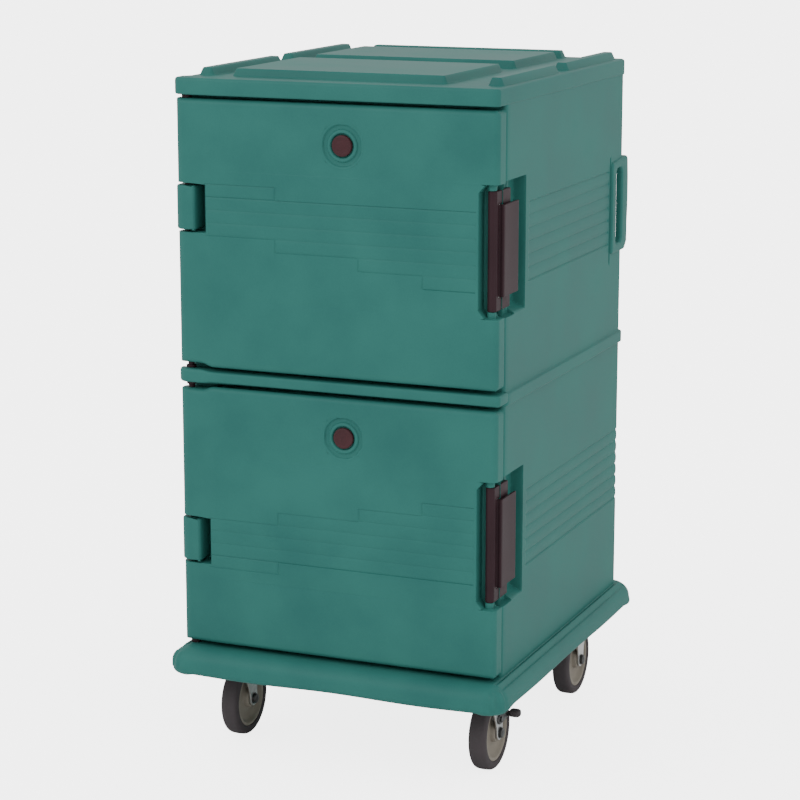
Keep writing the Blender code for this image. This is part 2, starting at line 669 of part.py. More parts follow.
def foam_core():
    core = wall_space("foam_core", CLEAR, FOAM)
    for name, x, plate_y, _ in caster_places():
        low = (x - PLATE_WIDTH / 2 - CLEAR, plate_y - PLATE_LENGTH / 2 - CLEAR, CASTER_HEIGHT)
        high = (x + PLATE_WIDTH / 2 + CLEAR, plate_y + PLATE_LENGTH / 2 + CLEAR, CASTER_HEIGHT + SKIN)
        high = (high[0], high[1], high[2] + 2 * CLEAR + BACKING_THICKNESS)
        cut(core, block(f"{name}_backing_space", low, high))
    for side in (-1, 1):
        cut(core, grip_prism(f"foam_grip_seat_{side}", side, 2 * CLEAR))


def fill_port_plug():
    """The push-in disc that closes the foam fill port in the underside."""
    bottom = CASTER_HEIGHT - CLEAR - PORT_FLANGE_THICKNESS
    rim = PORT_RADIUS + PORT_FLANGE
    stem = PORT_RADIUS - CLEAR
    top = CASTER_HEIGHT + SKIN - CLEAR - bottom
    profile = [(0, top), (stem, top), (stem, PORT_FLANGE_THICKNESS), (rim, PORT_FLANGE_THICKNESS)]
    turned("base_fill_plug", profile + [(rim, 0), (0, 0)], "Z", (0, 0, bottom), 16, GREEN)


# Hinge pins


def pin_places():
    """Name, middle and half length of each bore for a hinge pin in the shell."""
    rail_middle = (RAIL_BOTTOM + RAIL_TOP) / 2
    yield "top_hinge_pin", LID_BOTTOM, PIN_REACH
    yield "upper_hinge_pin", KNUCKLE_MIDDLE["upper"], KNUCKLE_HEIGHT
    yield "rail_hinge_pin", rail_middle, RAIL_KNUCKLE
    yield "lower_hinge_pin", KNUCKLE_MIDDLE["lower"], KNUCKLE_HEIGHT


def end_pin(name, seat, door_edge, seat_reach):
    """A pin with a thrust collar in the gap between a fixed seat and a door's barrel."""
    low, high = min(seat, door_edge), max(seat, door_edge)
    below = PIN_REACH if door_edge < seat else seat_reach
    above = seat_reach if door_edge < seat else PIN_REACH
    bottom = low - below
    heights = (high + above - bottom, high - CLEAR - bottom, low + CLEAR - bottom, 0)
    profile = [(0, heights[0]), (PIN_RADIUS, heights[0]), (PIN_RADIUS, heights[1])]
    profile += [(COLLAR_RADIUS, heights[1]), (COLLAR_RADIUS, heights[2])]
    profile += [(PIN_RADIUS, heights[2]), (PIN_RADIUS, 0), (0, 0)]
    turned(name, profile, "Z", (*HINGE, bottom), 12, BROWN)


def hinge_pins():
    middle = (RAIL_BOTTOM + RAIL_TOP) / 2
    door_top = {level: bottom + DOOR_HEIGHT for level, bottom in DOOR_BOTTOM.items()}
    end_pin("top_hinge_pin", LID_BOTTOM, door_top["upper"], PIN_REACH - SKIN)
    end_pin("bottom_hinge_pin", BUMPER_TOP, DOOR_BOTTOM["lower"], PIN_REACH - SKIN)
    end_pin("rail_upper_pin", middle + RAIL_KNUCKLE / 2, DOOR_BOTTOM["upper"], PIN_SEAT)
    end_pin("rail_lower_pin", middle - RAIL_KNUCKLE / 2, door_top["lower"], PIN_SEAT)
    for level, height in KNUCKLE_MIDDLE.items():
        half = KNUCKLE_HEIGHT / 2 + NOTCH_GAP + PIN_REACH
        rod(f"{level}_knuckle_pin", PIN_RADIUS, "Z", (*HINGE, height), half, 12, BROWN)


# Doors


def door_outline():
    """Section of a door from above: flat front, angled strip, round hinge barrel and flat back."""
    corner = (DOOR_RIGHT - DOOR_ROUND, DOOR_FRONT + DOOR_ROUND)
    outline = arc(corner, DOOR_ROUND, 270, 360, 3)
    outline += [(DOOR_RIGHT, DOOR_BACK - SINK), (DOOR_RIGHT - SINK, DOOR_BACK)]
    start = math.degrees(math.asin((DOOR_BACK - HINGE_Y) / BARREL_RADIUS))
    outline += arc(HINGE, BARREL_RADIUS, start, facet_angle(), 9)
    return outline + [(FACET_X, DOOR_FRONT)]


def plug_box(name, level, inset, front, back, material=None):
    """The insulating bulge on the back of a door, which reaches into the opening."""
    bottom = DOOR_BOTTOM[level] + DOOR_LAND + PLUG_CLEAR + inset
    top = DOOR_BOTTOM[level] + DOOR_HEIGHT - DOOR_LAND - PLUG_CLEAR - inset
    return block(name, (-PLUG_X + inset, front, bottom), (PLUG_X - inset, back, top), material)


def vent_place(level):
    return VENT_X, DOOR_BOTTOM[level] + DOOR_HEIGHT - VENT_DROP


def door_foam(name, level, inset, material=None, pivot=(0, 0, 0)):
    """The space inside a door, clear of its hinge notch, latch recess and vent."""
    margin = SKIN + inset
    left = HINGE_X + NOTCH_ARM + margin
    right = DOOR_RIGHT - RECESS_WIDTH - margin
    bottom, top = DOOR_BOTTOM[level] + margin, DOOR_BOTTOM[level] + DOOR_HEIGHT - margin
    low, high = (left, DOOR_FRONT + margin, bottom), (right, DOOR_BACK - margin, top)
    foam = block(name, low, high, material, pivot)
    join(foam, plug_box(f"{name}_plug", level, margin, DOOR_BACK - 2 * margin, PLUG_BACK - margin))
    vent_x, vent_z = vent_place(level)
    centre = (vent_x, DOOR_BACK, vent_z)
    cut(foam, rod(f"{name}_vent", VENT_STEM + CLEAR + margin, "Y", centre, DOOR_THICKNESS * 2, 12))
    centre = (vent_x, DOOR_FRONT, vent_z)
    cut(foam, rod(f"{name}_dish", VENT_DISH + margin, "Y", centre, VENT_CAP_DEPTH + margin, 16))
    return foam


def port_place(level):
    return PLUG_X * 0.6, DOOR_BOTTOM[level] + DOOR_LAND + PLUG_CLEAR + 4 * DOOR_PORT_RADIUS


def cut_vent(shell, level):
    """A shallow dish with a raised ring, a seat for the cap and a bore through the door."""
    vent_x, vent_z = vent_place(level)
    place_at = (vent_x, DOOR_FRONT, vent_z)
    seat = VENT_CAP + CLEAR
    dish = [(VENT_DISH, SKIN), (VENT_DISH - VENT_DISH_DEPTH, -VENT_DISH_DEPTH)]
    dish += [(VENT_RING, -VENT_DISH_DEPTH), (VENT_RING - SINK, SKIN)]
    cut(shell, turned(f"{level}_vent_dish", dish, "Y", place_at, 20))
    bore = VENT_STEM + CLEAR
    deep = -(DOOR_THICKNESS + PLUG_DEPTH + SKIN)
    hole = [(0, SKIN), (seat, SKIN), (seat, -VENT_CAP_DEPTH), (bore, -VENT_CAP_DEPTH)]
    cut(shell, turned(f"{level}_vent_bore", hole + [(bore, deep), (0, deep)], "Y", place_at, 16))


def cut_latch_recess(shell, level):
    """The recess in the door's latch edge, with a post above and below for the latch pin."""
    middle = DOOR_MIDDLE[level]
    bottom, top = middle - RECESS_HALF, middle + RECESS_HALF
    flange = DOOR_BACK - RECESS_FLANGE
    left = DOOR_RIGHT - RECESS_WIDTH
    outside = OVERALL_WIDTH
    cut(shell, block(f"{level}_recess", (left, DOOR_FRONT - SKIN, bottom), (outside, flange, top)))
    low = (DOOR_RIGHT - FLANGE_SETBACK, flange - SINK, bottom)
    cut(shell, block(f"{level}_recess_edge", low, (outside, DOOR_BACK + SKIN, top)))
    length = RECESS_HALF - LATCH_HALF - CLEAR
    for number, direction in enumerate((-1, 1)):
        centre = (POST_X, POST_Y, middle + direction * (RECESS_HALF - length / 2 + SINK / 2))
        post = rod(f"{level}_post_{number}", POST_RADIUS, "Z", centre, length / 2 + SINK / 2, 12)
        join(shell, post)
    half = RECESS_HALF - SINK + CLEAR
    bore = rod(f"{level}_post_bore", LATCH_PIN + CLEAR, "Z", (POST_X, POST_Y, middle), half, 8)
    cut(shell, bore)


def door(level):
    """One door with its skin, foam, gasket, vent cap and fill plug, all carried on the hinge axis."""
    axis = axis_empty(f"{level}_door_axis", (*HINGE, DOOR_MIDDLE[level]))
    pivot = AXES[axis.name]
    bottom, top = DOOR_BOTTOM[level], DOOR_BOTTOM[level] + DOOR_HEIGHT
    shell = prism(f"{level}_door_shell", door_outline(), "Z", bottom, top, GREEN, pivot)
    join(shell, plug_box(f"{level}_door_plug", level, 0.0, DOOR_BACK - SINK, PLUG_BACK))
    half = KNUCKLE_HEIGHT / 2 + NOTCH_GAP
    middle = KNUCKLE_MIDDLE[level]
    low = (-OVERALL_WIDTH, DOOR_FRONT - SKIN, middle - half)
    cut(shell, block(f"{level}_notch", low, (HINGE_X + NOTCH_ARM, FRAME_Y, middle + half)))
    cut_vent(shell, level)
    cut_latch_recess(shell, level)
    cut(shell, door_foam(f"{level}_door_space", level, 0.0))
    for number, edge in enumerate((bottom, top)):
        bore = rod(f"{level}_barrel_{number}", PIN_RADIUS + CLEAR, "Z", (*HINGE, edge), PIN_REACH + CLEAR, 12)
        cut(shell, bore)
    half += PIN_REACH + CLEAR
    cut(shell, rod(f"{level}_barrel_bore", PIN_RADIUS + CLEAR, "Z", (*HINGE, middle), half, 12))
    port_x, port_z = port_place(level)
    centre = (port_x, PLUG_BACK, port_z)
    cut(shell, rod(f"{level}_port", DOOR_PORT_RADIUS, "Y", centre, SKIN + SINK, 12))
    foam = door_foam(f"{level}_door_foam", level, CLEAR, FOAM, pivot)
    carry(axis, shell, foam, door_gasket(level, pivot), door_fill_plug(level, pivot))
    vent_cap(level, axis)
    latch(level, axis)


def door_fill_plug(level, pivot):
    port_x, port_z = port_place(level)
    stem, rim = DOOR_PORT_RADIUS - CLEAR, DOOR_PORT_RADIUS + PORT_FLANGE
    front = SKIN - CLEAR
    seat = -CLEAR
    profile = [(0, front), (stem, front), (stem, seat), (rim, seat)]
    profile += [(rim, seat - PORT_FLANGE_THICKNESS), (0, seat - PORT_FLANGE_THICKNESS)]
    place_at = (port_x, PLUG_BACK, port_z)
    return turned(f"{level}_door_fill_plug", profile, "Y", place_at, 12, GREEN, pivot)


def door_gasket(level, pivot):
    """The seal around the bulge, pressed between the back of the door and the front frame."""
    bottom = DOOR_BOTTOM[level] + DOOR_LAND + PLUG_CLEAR - CLEAR
    top = DOOR_BOTTOM[level] + DOOR_HEIGHT - DOOR_LAND - PLUG_CLEAR + CLEAR
    inner = PLUG_X + CLEAR
    front, back = DOOR_BACK + CLEAR, FRAME_Y - CLEAR
    low = (-inner - GASKET_WIDTH, front, bottom - GASKET_WIDTH)
    gasket = block(f"{level}_door_gasket", low, (inner + GASKET_WIDTH, back, top + GASKET_WIDTH), SEAL, pivot)
    cut(gasket, block(f"{level}_gasket_hole", (-inner, front - SKIN, bottom), (inner, back + SKIN, top)))
    return gasket


def vent_cap(level, door_axis):
    """The cap that pulls out to open the vent: a head in its seat and a stem in the bore."""
    vent_x, vent_z = vent_place(level)
    axis = axis_empty(f"{level}_vent_axis", (vent_x, DOOR_FRONT, vent_z), door_axis)
    bottom = -VENT_CAP_DEPTH + CLEAR
    end = -(DOOR_THICKNESS + PLUG_DEPTH)
    head = VENT_CAP - SINK / 2
    profile = [(0, SINK), (head, SINK), (VENT_CAP, SINK / 2), (VENT_CAP, bottom)]
    profile += [(VENT_STEM, bottom), (VENT_STEM, end), (0, end)]
    pivot = AXES[axis.name]
    carry(axis, turned(f"{level}_vent_cap", profile, "Y", pivot, 16, BROWN, pivot))


# Latches


def latch(level, door_axis):
    """A link that swings on the door's latch post, and a paddle that swings on the link."""
    middle = DOOR_MIDDLE[level]
    pin_half = RECESS_HALF - SINK
    pin_pivot = AXES[door_axis.name]
    pin = rod(f"{level}_latch_pin", LATCH_PIN, "Z", (POST_X, POST_Y, middle), pin_half, 8, ZINC, pin_pivot)
    carry(door_axis, pin)
    link_axis = axis_empty(f"{level}_latch_axis", (POST_X, POST_Y, middle), door_axis)
    carry(link_axis, latch_link(level, middle, AXES[link_axis.name]))
    position = (PADDLE_PIN_X, PADDLE_PIN_Y, middle)
    pin_length = WINDOW_HALF + PADDLE_PIN_END
    pin = rod(f"{level}_paddle_pin", PADDLE_PIN, "Z", position, pin_length, 8, ZINC, AXES[link_axis.name])
    carry(link_axis, pin)
    paddle_axis = axis_empty(f"{level}_paddle_axis", position, link_axis)
    carry(paddle_axis, latch_paddle(level, middle, AXES[paddle_axis.name]))


def latch_link(level, middle, pivot):
    """A round bar on the latch post with a flat plate that reaches back past the paddle's pin."""
    post = (POST_X, POST_Y)
    centre = (*post, middle)
    link = rod(f"{level}_latch_link", LATCH_BAR_RADIUS, "Z", centre, LATCH_HALF, 16, BROWN, pivot)
    low = (ARM_X, POST_Y, middle - LATCH_HALF + SINK / 4)
    high = (ARM_X + ARM_THICKNESS, POST_Y + ARM_REACH, middle + LATCH_HALF - SINK / 4)
    join(link, block(f"{level}_link_plate", low, high))
    start = POST_Y + WINDOW_START + SINK / 2
    low = (ARM_X - SKIN, start, middle - WINDOW_HALF)
    high = (ARM_X + ARM_THICKNESS + SKIN, start + WINDOW_WIDTH, middle + WINDOW_HALF)
    cut(link, block(f"{level}_link_window", low, high))
    cut(link, rod(f"{level}_link_bore", LATCH_PIN + CLEAR, "Z", centre, LATCH_HALF + SKIN, 8))
    centre = (PADDLE_PIN_X, PADDLE_PIN_Y, middle)
    length = WINDOW_HALF + PADDLE_PIN_END + CLEAR
    cut(link, rod(f"{level}_link_pin_bore", PADDLE_PIN + CLEAR, "Z", centre, length, 8))
    return link


def latch_paddle(level, middle, pivot):
    """The flat hand plate, with the barrel and web that hang it on its pin inside the link's window."""
    half = PADDLE_HALF
    low = (PADDLE_X, POST_Y + PADDLE_START, middle - half)
    high = (PADDLE_X + PADDLE_THICKNESS, POST_Y + PADDLE_REACH, middle + half)
    paddle = block(f"{level}_latch_paddle", low, high, BROWN, pivot)
    centre = (PADDLE_PIN_X, PADDLE_PIN_Y, middle)
    barrel_half = half - SINK / 2
    low = (PADDLE_PIN_X, PADDLE_PIN_Y - PADDLE_BARREL * 0.8, middle - barrel_half + SINK / 2)
    high = (PADDLE_X + SINK, PADDLE_PIN_Y + PADDLE_BARREL * 0.8, middle + barrel_half - SINK / 2)
    join(paddle, block(f"{level}_paddle_web", low, high))
    join(paddle, rod(f"{level}_paddle_barrel", PADDLE_BARREL, "Z", centre, barrel_half, 12))
    cut(paddle, rod(f"{level}_paddle_bore", PADDLE_PIN + CLEAR, "Z", centre, half + SKIN, 8))
    return paddle


# Casters


def backing_plate(name, x, y):
    """The steel plate moulded in over the base skin, with four studs and the nuts on them."""
    bottom = CASTER_HEIGHT + SKIN + CLEAR
    low = (x - PLATE_WIDTH / 2, y - PLATE_LENGTH / 2, bottom)
    high = (x + PLATE_WIDTH / 2, y + PLATE_LENGTH / 2, bottom + BACKING_THICKNESS)
    plate = block(f"{name}_backing_plate", low, high, ZINC)
    nut_top = RACE_TOP - CLEAR
    top = bottom + SINK
    profile = [(0, top), (STUD_RADIUS, top), (STUD_RADIUS, nut_top), (NUT_RADIUS, nut_top)]
    profile += [(NUT_RADIUS, nut_top - NUT_HEIGHT), (0, nut_top - NUT_HEIGHT)]
    for number, (bolt_x, bolt_y) in enumerate(bolt_places(x, y)):
        join(plate, turned(f"{name}_stud_{number}", profile, "Z", (bolt_x, bolt_y, 0), 8))


def plate_box(name, x, y, material):
    low = (x - PLATE_WIDTH / 2, y - PLATE_LENGTH / 2, RACE_TOP)
    return block(name, low, (x + PLATE_WIDTH / 2, y + PLATE_LENGTH / 2, CASTER_HEIGHT - CLEAR), material)


def swivel_plate(name, x, y):
    """The bolted top plate of a swivel caster with the upper half of its ball race."""
    plate = plate_box(f"{name}_caster_plate", x, y, ZINC)
    middle = (RACE_SPLIT + RACE_TOP + SINK) / 2
    half = (RACE_TOP + SINK - RACE_SPLIT) / 2 - CLEAR / 2
    race = rod(f"{name}_upper_race", RACE_RADIUS + SINK, "Z", (x, y, middle), half, 16)
    join(plate, race)
    top = CASTER_HEIGHT + SINK
    seat = CASTER_HEIGHT - CLEAR - KINGPIN_HEAD - CLEAR
    profile = [(0, top), (COLLAR_RADIUS + CLEAR, top), (COLLAR_RADIUS + CLEAR, seat)]
    profile += [(AXLE_RADIUS + CLEAR, seat), (AXLE_RADIUS + CLEAR, CROWN_TOP), (0, CROWN_TOP)]
    cut(plate, turned(f"{name}_plate_bore", profile, "Z", (x, y, 0), 12))
    bolt_holes(plate, f"{name}_plate", x, y)


def kingpin(name, x, y):
    """The bolt that holds the fork to the plate, with its nut under the fork's crown."""
    top = CASTER_HEIGHT - CLEAR
    nut_top = CROWN_BOTTOM - CLEAR
    profile = [(0, top), (COLLAR_RADIUS, top), (COLLAR_RADIUS, top - KINGPIN_HEAD)]
    profile += [(AXLE_RADIUS, top - KINGPIN_HEAD), (AXLE_RADIUS, nut_top), (AXLE_HEAD, nut_top)]
    profile += [(AXLE_HEAD, nut_top - KINGPIN_NUT), (0, nut_top - KINGPIN_NUT)]
    turned(f"{name}_kingpin", profile, "Z", (x, y, 0), 12, ZINC)


def channel(x, top, roof):
    """Section of a fork from the front: two legs and a roof."""
    inner, outer = FORK_INNER, FORK_OUTER
    legs = [(-outer, 0.0), (-inner, 0.0), (-inner, roof), (inner, roof), (inner, 0.0), (outer, 0.0)]
    return [(x + u, v) for u, v in legs + [(outer, top), (-outer, top)]]


def leg_outline(wheel_y, front, back, top):
    """Side of a fork leg: wide at the crown, narrowing to a round end at the axle."""
    round_end = arc((wheel_y, WHEEL_RADIUS), LEG_END, 200, 340, 5)
    return round_end + [(back, top), (front, top)]


def swivel_fork(name, x, y, wheel_y, pivot):
    outline = channel(x, CROWN_TOP, CROWN_BOTTOM)
    fork = prism(f"{name}_fork", outline, "Y", y - PLATE_LENGTH, y + PLATE_LENGTH, ZINC, pivot)
    side = leg_outline(wheel_y, y + SWIVEL_LEG[0], y + SWIVEL_LEG[1], CROWN_TOP + SKIN)
    combine(fork, prism(f"{name}_fork_side", side, "X", x - PLATE_WIDTH, x + PLATE_WIDTH), "INTERSECT")
    middle, half = (CROWN_TOP - SINK + RACE_SPLIT) / 2, (RACE_SPLIT - CROWN_TOP + SINK) / 2
    join(fork, rod(f"{name}_lower_race", RACE_RADIUS, "Z", (x, y, middle), half - CLEAR / 2, 16))
    cut(fork, rod(f"{name}_crown_bore", AXLE_RADIUS + CLEAR, "Z", (x, y, CROWN_TOP), RACE_RADIUS, 12))
    cut(fork, axle_hole(name, x, wheel_y))
    return fork


def rigid_fork(name, x, y):
    outline = channel(x, RACE_TOP + SINK, RACE_TOP - CROWN_METAL)
    fork = prism(f"{name}_fork", outline, "Y", y - PLATE_LENGTH, y + PLATE_LENGTH, ZINC)
    side = leg_outline(y, y - RIGID_LEG, y + RIGID_LEG, RACE_TOP + SKIN)
    combine(fork, prism(f"{name}_fork_side", side, "X", x - PLATE_WIDTH, x + PLATE_WIDTH), "INTERSECT")
    join(fork, plate_box(f"{name}_plate", x, y, None))
    bolt_holes(fork, f"{name}_plate", x, y)
    cut(fork, axle_hole(name, x, y))


def axle_hole(name, x, wheel_y):
    centre = (x, wheel_y, WHEEL_RADIUS)
    return rod(f"{name}_axle_hole", AXLE_RADIUS + CLEAR, "X", centre, 2 * FORK_OUTER, 12)


def axle(name, x, wheel_y, pivot):
    """The axle bolt, with its head on one leg and its nut on the other."""
    seat = FORK_OUTER + CLEAR
    head = seat + AXLE_HEAD_HEIGHT
    profile = [(0, head), (AXLE_HEAD, head), (AXLE_HEAD, seat), (AXLE_RADIUS, seat)]
    profile += [(radius, -height) for radius, height in reversed(profile)]
    return turned(f"{name}_axle_bolt", profile, "X", (x, wheel_y, WHEEL_RADIUS), 12, ZINC, pivot)


def wheel(name, x, wheel_y, parent):
    """A rubber tyre on a moulded hub, both carried on the axle."""
    position = (x, wheel_y, WHEEL_RADIUS)
    axis = axis_empty(f"{name}_wheel_axis", position, parent)
    half = TYRE_WIDTH / 2
    outer = [(WHEEL_RADIUS - TYRE_SHOULDER, half), (WHEEL_RADIUS, half - TYRE_SHOULDER)]
    profile = outer + [(radius, -height) for radius, height in reversed(outer)]
    profile += [(HUB_RADIUS + CLEAR, -half), (HUB_RADIUS + CLEAR, half)]
    tyre = turned(f"{name}_tyre", profile, "X", position, WHEEL_STEPS, TYRE_GREY, position)
    rim, boss = half - SINK, half + SINK / 4
    side = [(HUB_RADIUS, rim), (HUB_RADIUS - HUB_RIM, rim), (HUB_RADIUS - HUB_RIM - HUB_SLOPE, HUB_WEB)]
    side += [(BOSS_RADIUS, HUB_WEB), (BOSS_RADIUS, boss), (AXLE_RADIUS + CLEAR, boss)]
    profile = [(radius, -height) for radius, height in side]
    profile += list(reversed(side))
    hub = turned(f"{name}_hub", profile, "X", position, WHEEL_STEPS, HUB_GREY, position)
    carry(axis, tyre, hub)


def brake(x, wheel_y, fork_axis):
    """The brake lever on the outside of a front fork: an arm, its foot pad and its pivot pin."""
    pivot = (x + FORK_OUTER, wheel_y - BRAKE_FORWARD, WHEEL_RADIUS + BRAKE_ABOVE)
    axis = axis_empty("brake_pedal_axis", pivot, fork_axis)
    start = x + FORK_OUTER + CLEAR
    end = pivot[1] + BRAKE_REACH
    outline = arc((pivot[1], pivot[2]), BRAKE_HEEL, 90, 290, 6)
    outline += [(end, pivot[2] + PAD_LOW + SINK), (end + SINK, pivot[2] + PAD_HIGH)]
    pedal = prism("brake_pedal", outline, "X", start, start + BRAKE_METAL, TYRE_GREY, pivot)
    pad_end = pivot[1] + BRAKE_REACH + 8 * SINK
    low = (start + SINK / 4, pad_end - PAD_LENGTH, pivot[2] + PAD_LOW)
    join(pedal, block("brake_pad", low, (start + SINK / 4 + PAD_WIDTH, pad_end, pivot[2] + PAD_HIGH)))
    cut(pedal, rod("brake_pin_hole", BRAKE_PIN + CLEAR, "X", pivot, PAD_WIDTH, 8))
    carry(axis, pedal)
    seat = start + BRAKE_METAL + CLEAR - pivot[0]
    head = seat + BRAKE_METAL
    profile = [(0, head), (BRAKE_PIN_HEAD, head), (BRAKE_PIN_HEAD, seat), (BRAKE_PIN, seat)]
    profile += [(BRAKE_PIN, -FORK_METAL), (0, -FORK_METAL)]
    pin = turned("brake_pivot_pin", profile, "X", pivot, 8, ZINC, AXES[fork_axis.name])
    carry(fork_axis, pin)
    return rod("brake_fork_hole", BRAKE_PIN + CLEAR, "X", pivot, FORK_METAL * 1.5, 8)


def casters():
    for name, x, plate_y, wheel_y in caster_places():
        backing_plate(name, x, plate_y)
        if name.startswith("rear"):
            rigid_fork(name, x, plate_y)
            axle(name, x, wheel_y, (0, 0, 0))
            wheel(name, x, wheel_y, None)
            continue
        swivel_plate(name, x, plate_y)
        kingpin(name, x, plate_y)
        axis = axis_empty(f"{name}_swivel_axis", (x, plate_y, RACE_SPLIT))
        pivot = AXES[axis.name]
        fork = swivel_fork(name, x, plate_y, wheel_y, pivot)
        carry(axis, fork, axle(name, x, wheel_y, pivot))
        wheel(name, x, wheel_y, axis)
        if name == "front_right":
            cut(fork, brake(x, wheel_y, axis))


cabinet_shell()
bumper_skirt()
grips()
for compartment_level in DOOR_BOTTOM:
    liner(compartment_level)
foam_core()
fill_port_plug()
hinge_pins()
for door_level in DOOR_BOTTOM:
    door(door_level)
casters()
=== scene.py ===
import math

import bmesh
import bpy
import numpy as np
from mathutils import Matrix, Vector


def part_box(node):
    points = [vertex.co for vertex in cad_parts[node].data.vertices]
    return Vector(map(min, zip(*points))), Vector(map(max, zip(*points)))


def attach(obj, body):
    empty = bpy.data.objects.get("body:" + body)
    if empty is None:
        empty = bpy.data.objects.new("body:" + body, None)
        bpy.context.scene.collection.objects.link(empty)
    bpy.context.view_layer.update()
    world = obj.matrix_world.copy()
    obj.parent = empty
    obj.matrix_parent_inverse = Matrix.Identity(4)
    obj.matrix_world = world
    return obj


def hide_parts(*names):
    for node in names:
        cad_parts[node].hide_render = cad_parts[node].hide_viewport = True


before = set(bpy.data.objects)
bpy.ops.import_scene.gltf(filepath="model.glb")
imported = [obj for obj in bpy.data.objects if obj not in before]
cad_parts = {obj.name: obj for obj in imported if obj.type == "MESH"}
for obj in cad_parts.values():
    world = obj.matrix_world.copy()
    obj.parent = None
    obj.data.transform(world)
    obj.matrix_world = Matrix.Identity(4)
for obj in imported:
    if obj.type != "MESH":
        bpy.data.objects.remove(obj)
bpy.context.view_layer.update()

# ---- Camera -------------------------------------------------------------------------------------
# A long lens at chest height, turned a little towards the latch side.
camera_azimuth, camera_elevation = math.radians(22.64), math.radians(12.31)
camera_target = Vector((-0.025, 0.0, 0.673))
camera_back = Vector((
    math.sin(camera_azimuth) * math.cos(camera_elevation),
    -math.cos(camera_azimuth) * math.cos(camera_elevation),
    math.sin(camera_elevation),
))
camera = bpy.data.objects.new("camera", bpy.data.cameras.new("camera"))
camera.data.lens = 112.8
camera.location = camera_target + camera_back * 5.176
camera.rotation_mode = "QUATERNION"
camera.rotation_quaternion = (-camera_back).to_track_quat("-Z", "Y")
bpy.context.scene.collection.objects.link(camera)
bpy.context.scene.camera = camera

# ---- Studio -------------------------------------------------------------------------------------
# A pale floor under an even white sky, with one broad soft light from the front left and a
# weaker one from the right, so that mouldings show without hard shadows.
sky = bpy.data.worlds.new("sky")
sky.use_nodes = True
sky.node_tree.nodes["Background"].inputs["Color"].default_value = (1.0, 1.0, 1.0, 1.0)
sky.node_tree.nodes["Background"].inputs["Strength"].default_value = 1.0
bpy.context.scene.world = sky


def soft_light(name, place, aim, width, power):
    """A square area light at place that faces aim."""
    lamp = bpy.data.lights.new(name, "AREA")
    lamp.size = width
    lamp.energy = power
    light = bpy.data.objects.new(name, lamp)
    light.location = place
    direction = Vector(aim) - Vector(place)
    light.rotation_mode = "QUATERNION"
    light.rotation_quaternion = direction.to_track_quat("-Z", "Y")
    bpy.context.scene.collection.objects.link(light)
    return light


soft_light("front_light", (-2.2, -3.4, 3.4), (0.0, 0.0, 0.7), 2.2, 45.0)
soft_light("side_light", (3.6, -1.6, 2.2), (0.0, 0.0, 0.7), 1.8, 16.0)

floor_mesh = bpy.data.meshes.new("floor")
floor_reach = 30.0
floor_mesh.from_pydata(
    [(-floor_reach, -floor_reach, 0), (floor_reach, -floor_reach, 0),
     (floor_reach, floor_reach, 0), (-floor_reach, floor_reach, 0)], [], [(0, 1, 2, 3)])
floor = bpy.data.objects.new("floor", floor_mesh)
floor.location.z = -0.0005
bpy.context.scene.collection.objects.link(floor)
floor_paint = bpy.data.materials.new("floor_paint")
floor_paint.use_nodes = True
floor_shader = floor_paint.node_tree.nodes["Principled BSDF"]
floor_shader.inputs["Base Color"].default_value = (0.93, 0.93, 0.93, 1.0)
floor_shader.inputs["Roughness"].default_value = 0.7
floor_shader.inputs["Emission Color"].default_value = (1.0, 1.0, 1.0, 1.0)
seen_directly = floor_paint.node_tree.nodes.new("ShaderNodeLightPath").outputs["Is Camera Ray"]
glow = floor_paint.node_tree.nodes.new("ShaderNodeMath")
glow.operation = "MULTIPLY"
glow.inputs[1].default_value = 4.0
floor_paint.node_tree.links.new(seen_directly, glow.inputs[0])
floor_paint.node_tree.links.new(glow.outputs[0], floor_shader.inputs["Emission Strength"])
floor_mesh.materials.append(floor_paint)

# ---- Body walls ---------------------------------------------------------------------------------
# The body is one hollow moulding of green polyethylene with foam between its skins. Its side and
# back walls carry bands of low ridges for stiffness and one bead round them at the middle rail.
# On the right each door has a seat and a deep pocket for its latch, and both rear edges are cut
# away behind the hand grips.
skirt_low, skirt_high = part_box("bumper_skirt")
body_x = skirt_high.x - 0.032
door_front = skirt_low.y + 0.040
body_back = -door_front
frame_y = door_front + 0.044
skirt_top = skirt_high.z
lid_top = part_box("cabinet_shell")[1].z - 0.015
lid_bottom = lid_top - 0.033
door_middle = {
    level: (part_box(level + "_door_shell")[0].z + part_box(level + "_door_shell")[1].z) / 2
    for level in ("lower", "upper")
}
wall_corner = 0.018
ridge_pitch = 0.0253
ridge_start = {"lower": 0.4137, "upper": 0.9778}  # lowest valley of the six-ridge bands
ridge_lines = {level: start + ridge_pitch * np.arange(7) for level, start in ridge_start.items()}
side_ridge_depth = 0.0026
band_front, band_rear = -0.208, 0.283
bead_low, bead_high, bead_proud = 0.757, 0.782, 0.006
pocket_half = 0.128
seat_depth, lip_depth, pocket_depth = 0.0155, 0.0142, 0.025
seat_rear, lip_rear, pocket_rear = -0.296, -0.286, -0.228
hand_x, hand_y = 0.283, 0.319
hand_low, hand_high = 0.975, 1.135
groove_front, groove_rear, groove_depth = 0.2865, 0.2925, 0.004
close_steps = 0.001 * np.array([-4, -2.5, -1.6, -1, -0.6, -0.3, 0, 0.3, 0.6, 1, 1.6, 2.5, 4])


def ease(value, low, high):
    """Rises from 0 at low to 1 at high as 3t^2 - 2t^3."""
    t = np.clip((value - low) / (high - low), 0, 1)
    return t * t * (3 - 2 * t)


def within(value, low, high, edge):
    """1 between low and high, easing to 0 across an edge of that width centred on each."""
    half = edge / 2
    return ease(value, low - half, low + half) * (1 - ease(value, high - half, high + half))


def closer(low, high, spacing, edges, steps=close_steps):
    """Even positions from low to high, with close ones added round each edge."""
    even = np.linspace(low, high, round((high - low) / spacing) + 1)
    near = np.add.outer(np.array(edges), steps).ravel()
    return np.unique(np.concatenate([even, near[(near > low) & (near < high)]]).round(5))


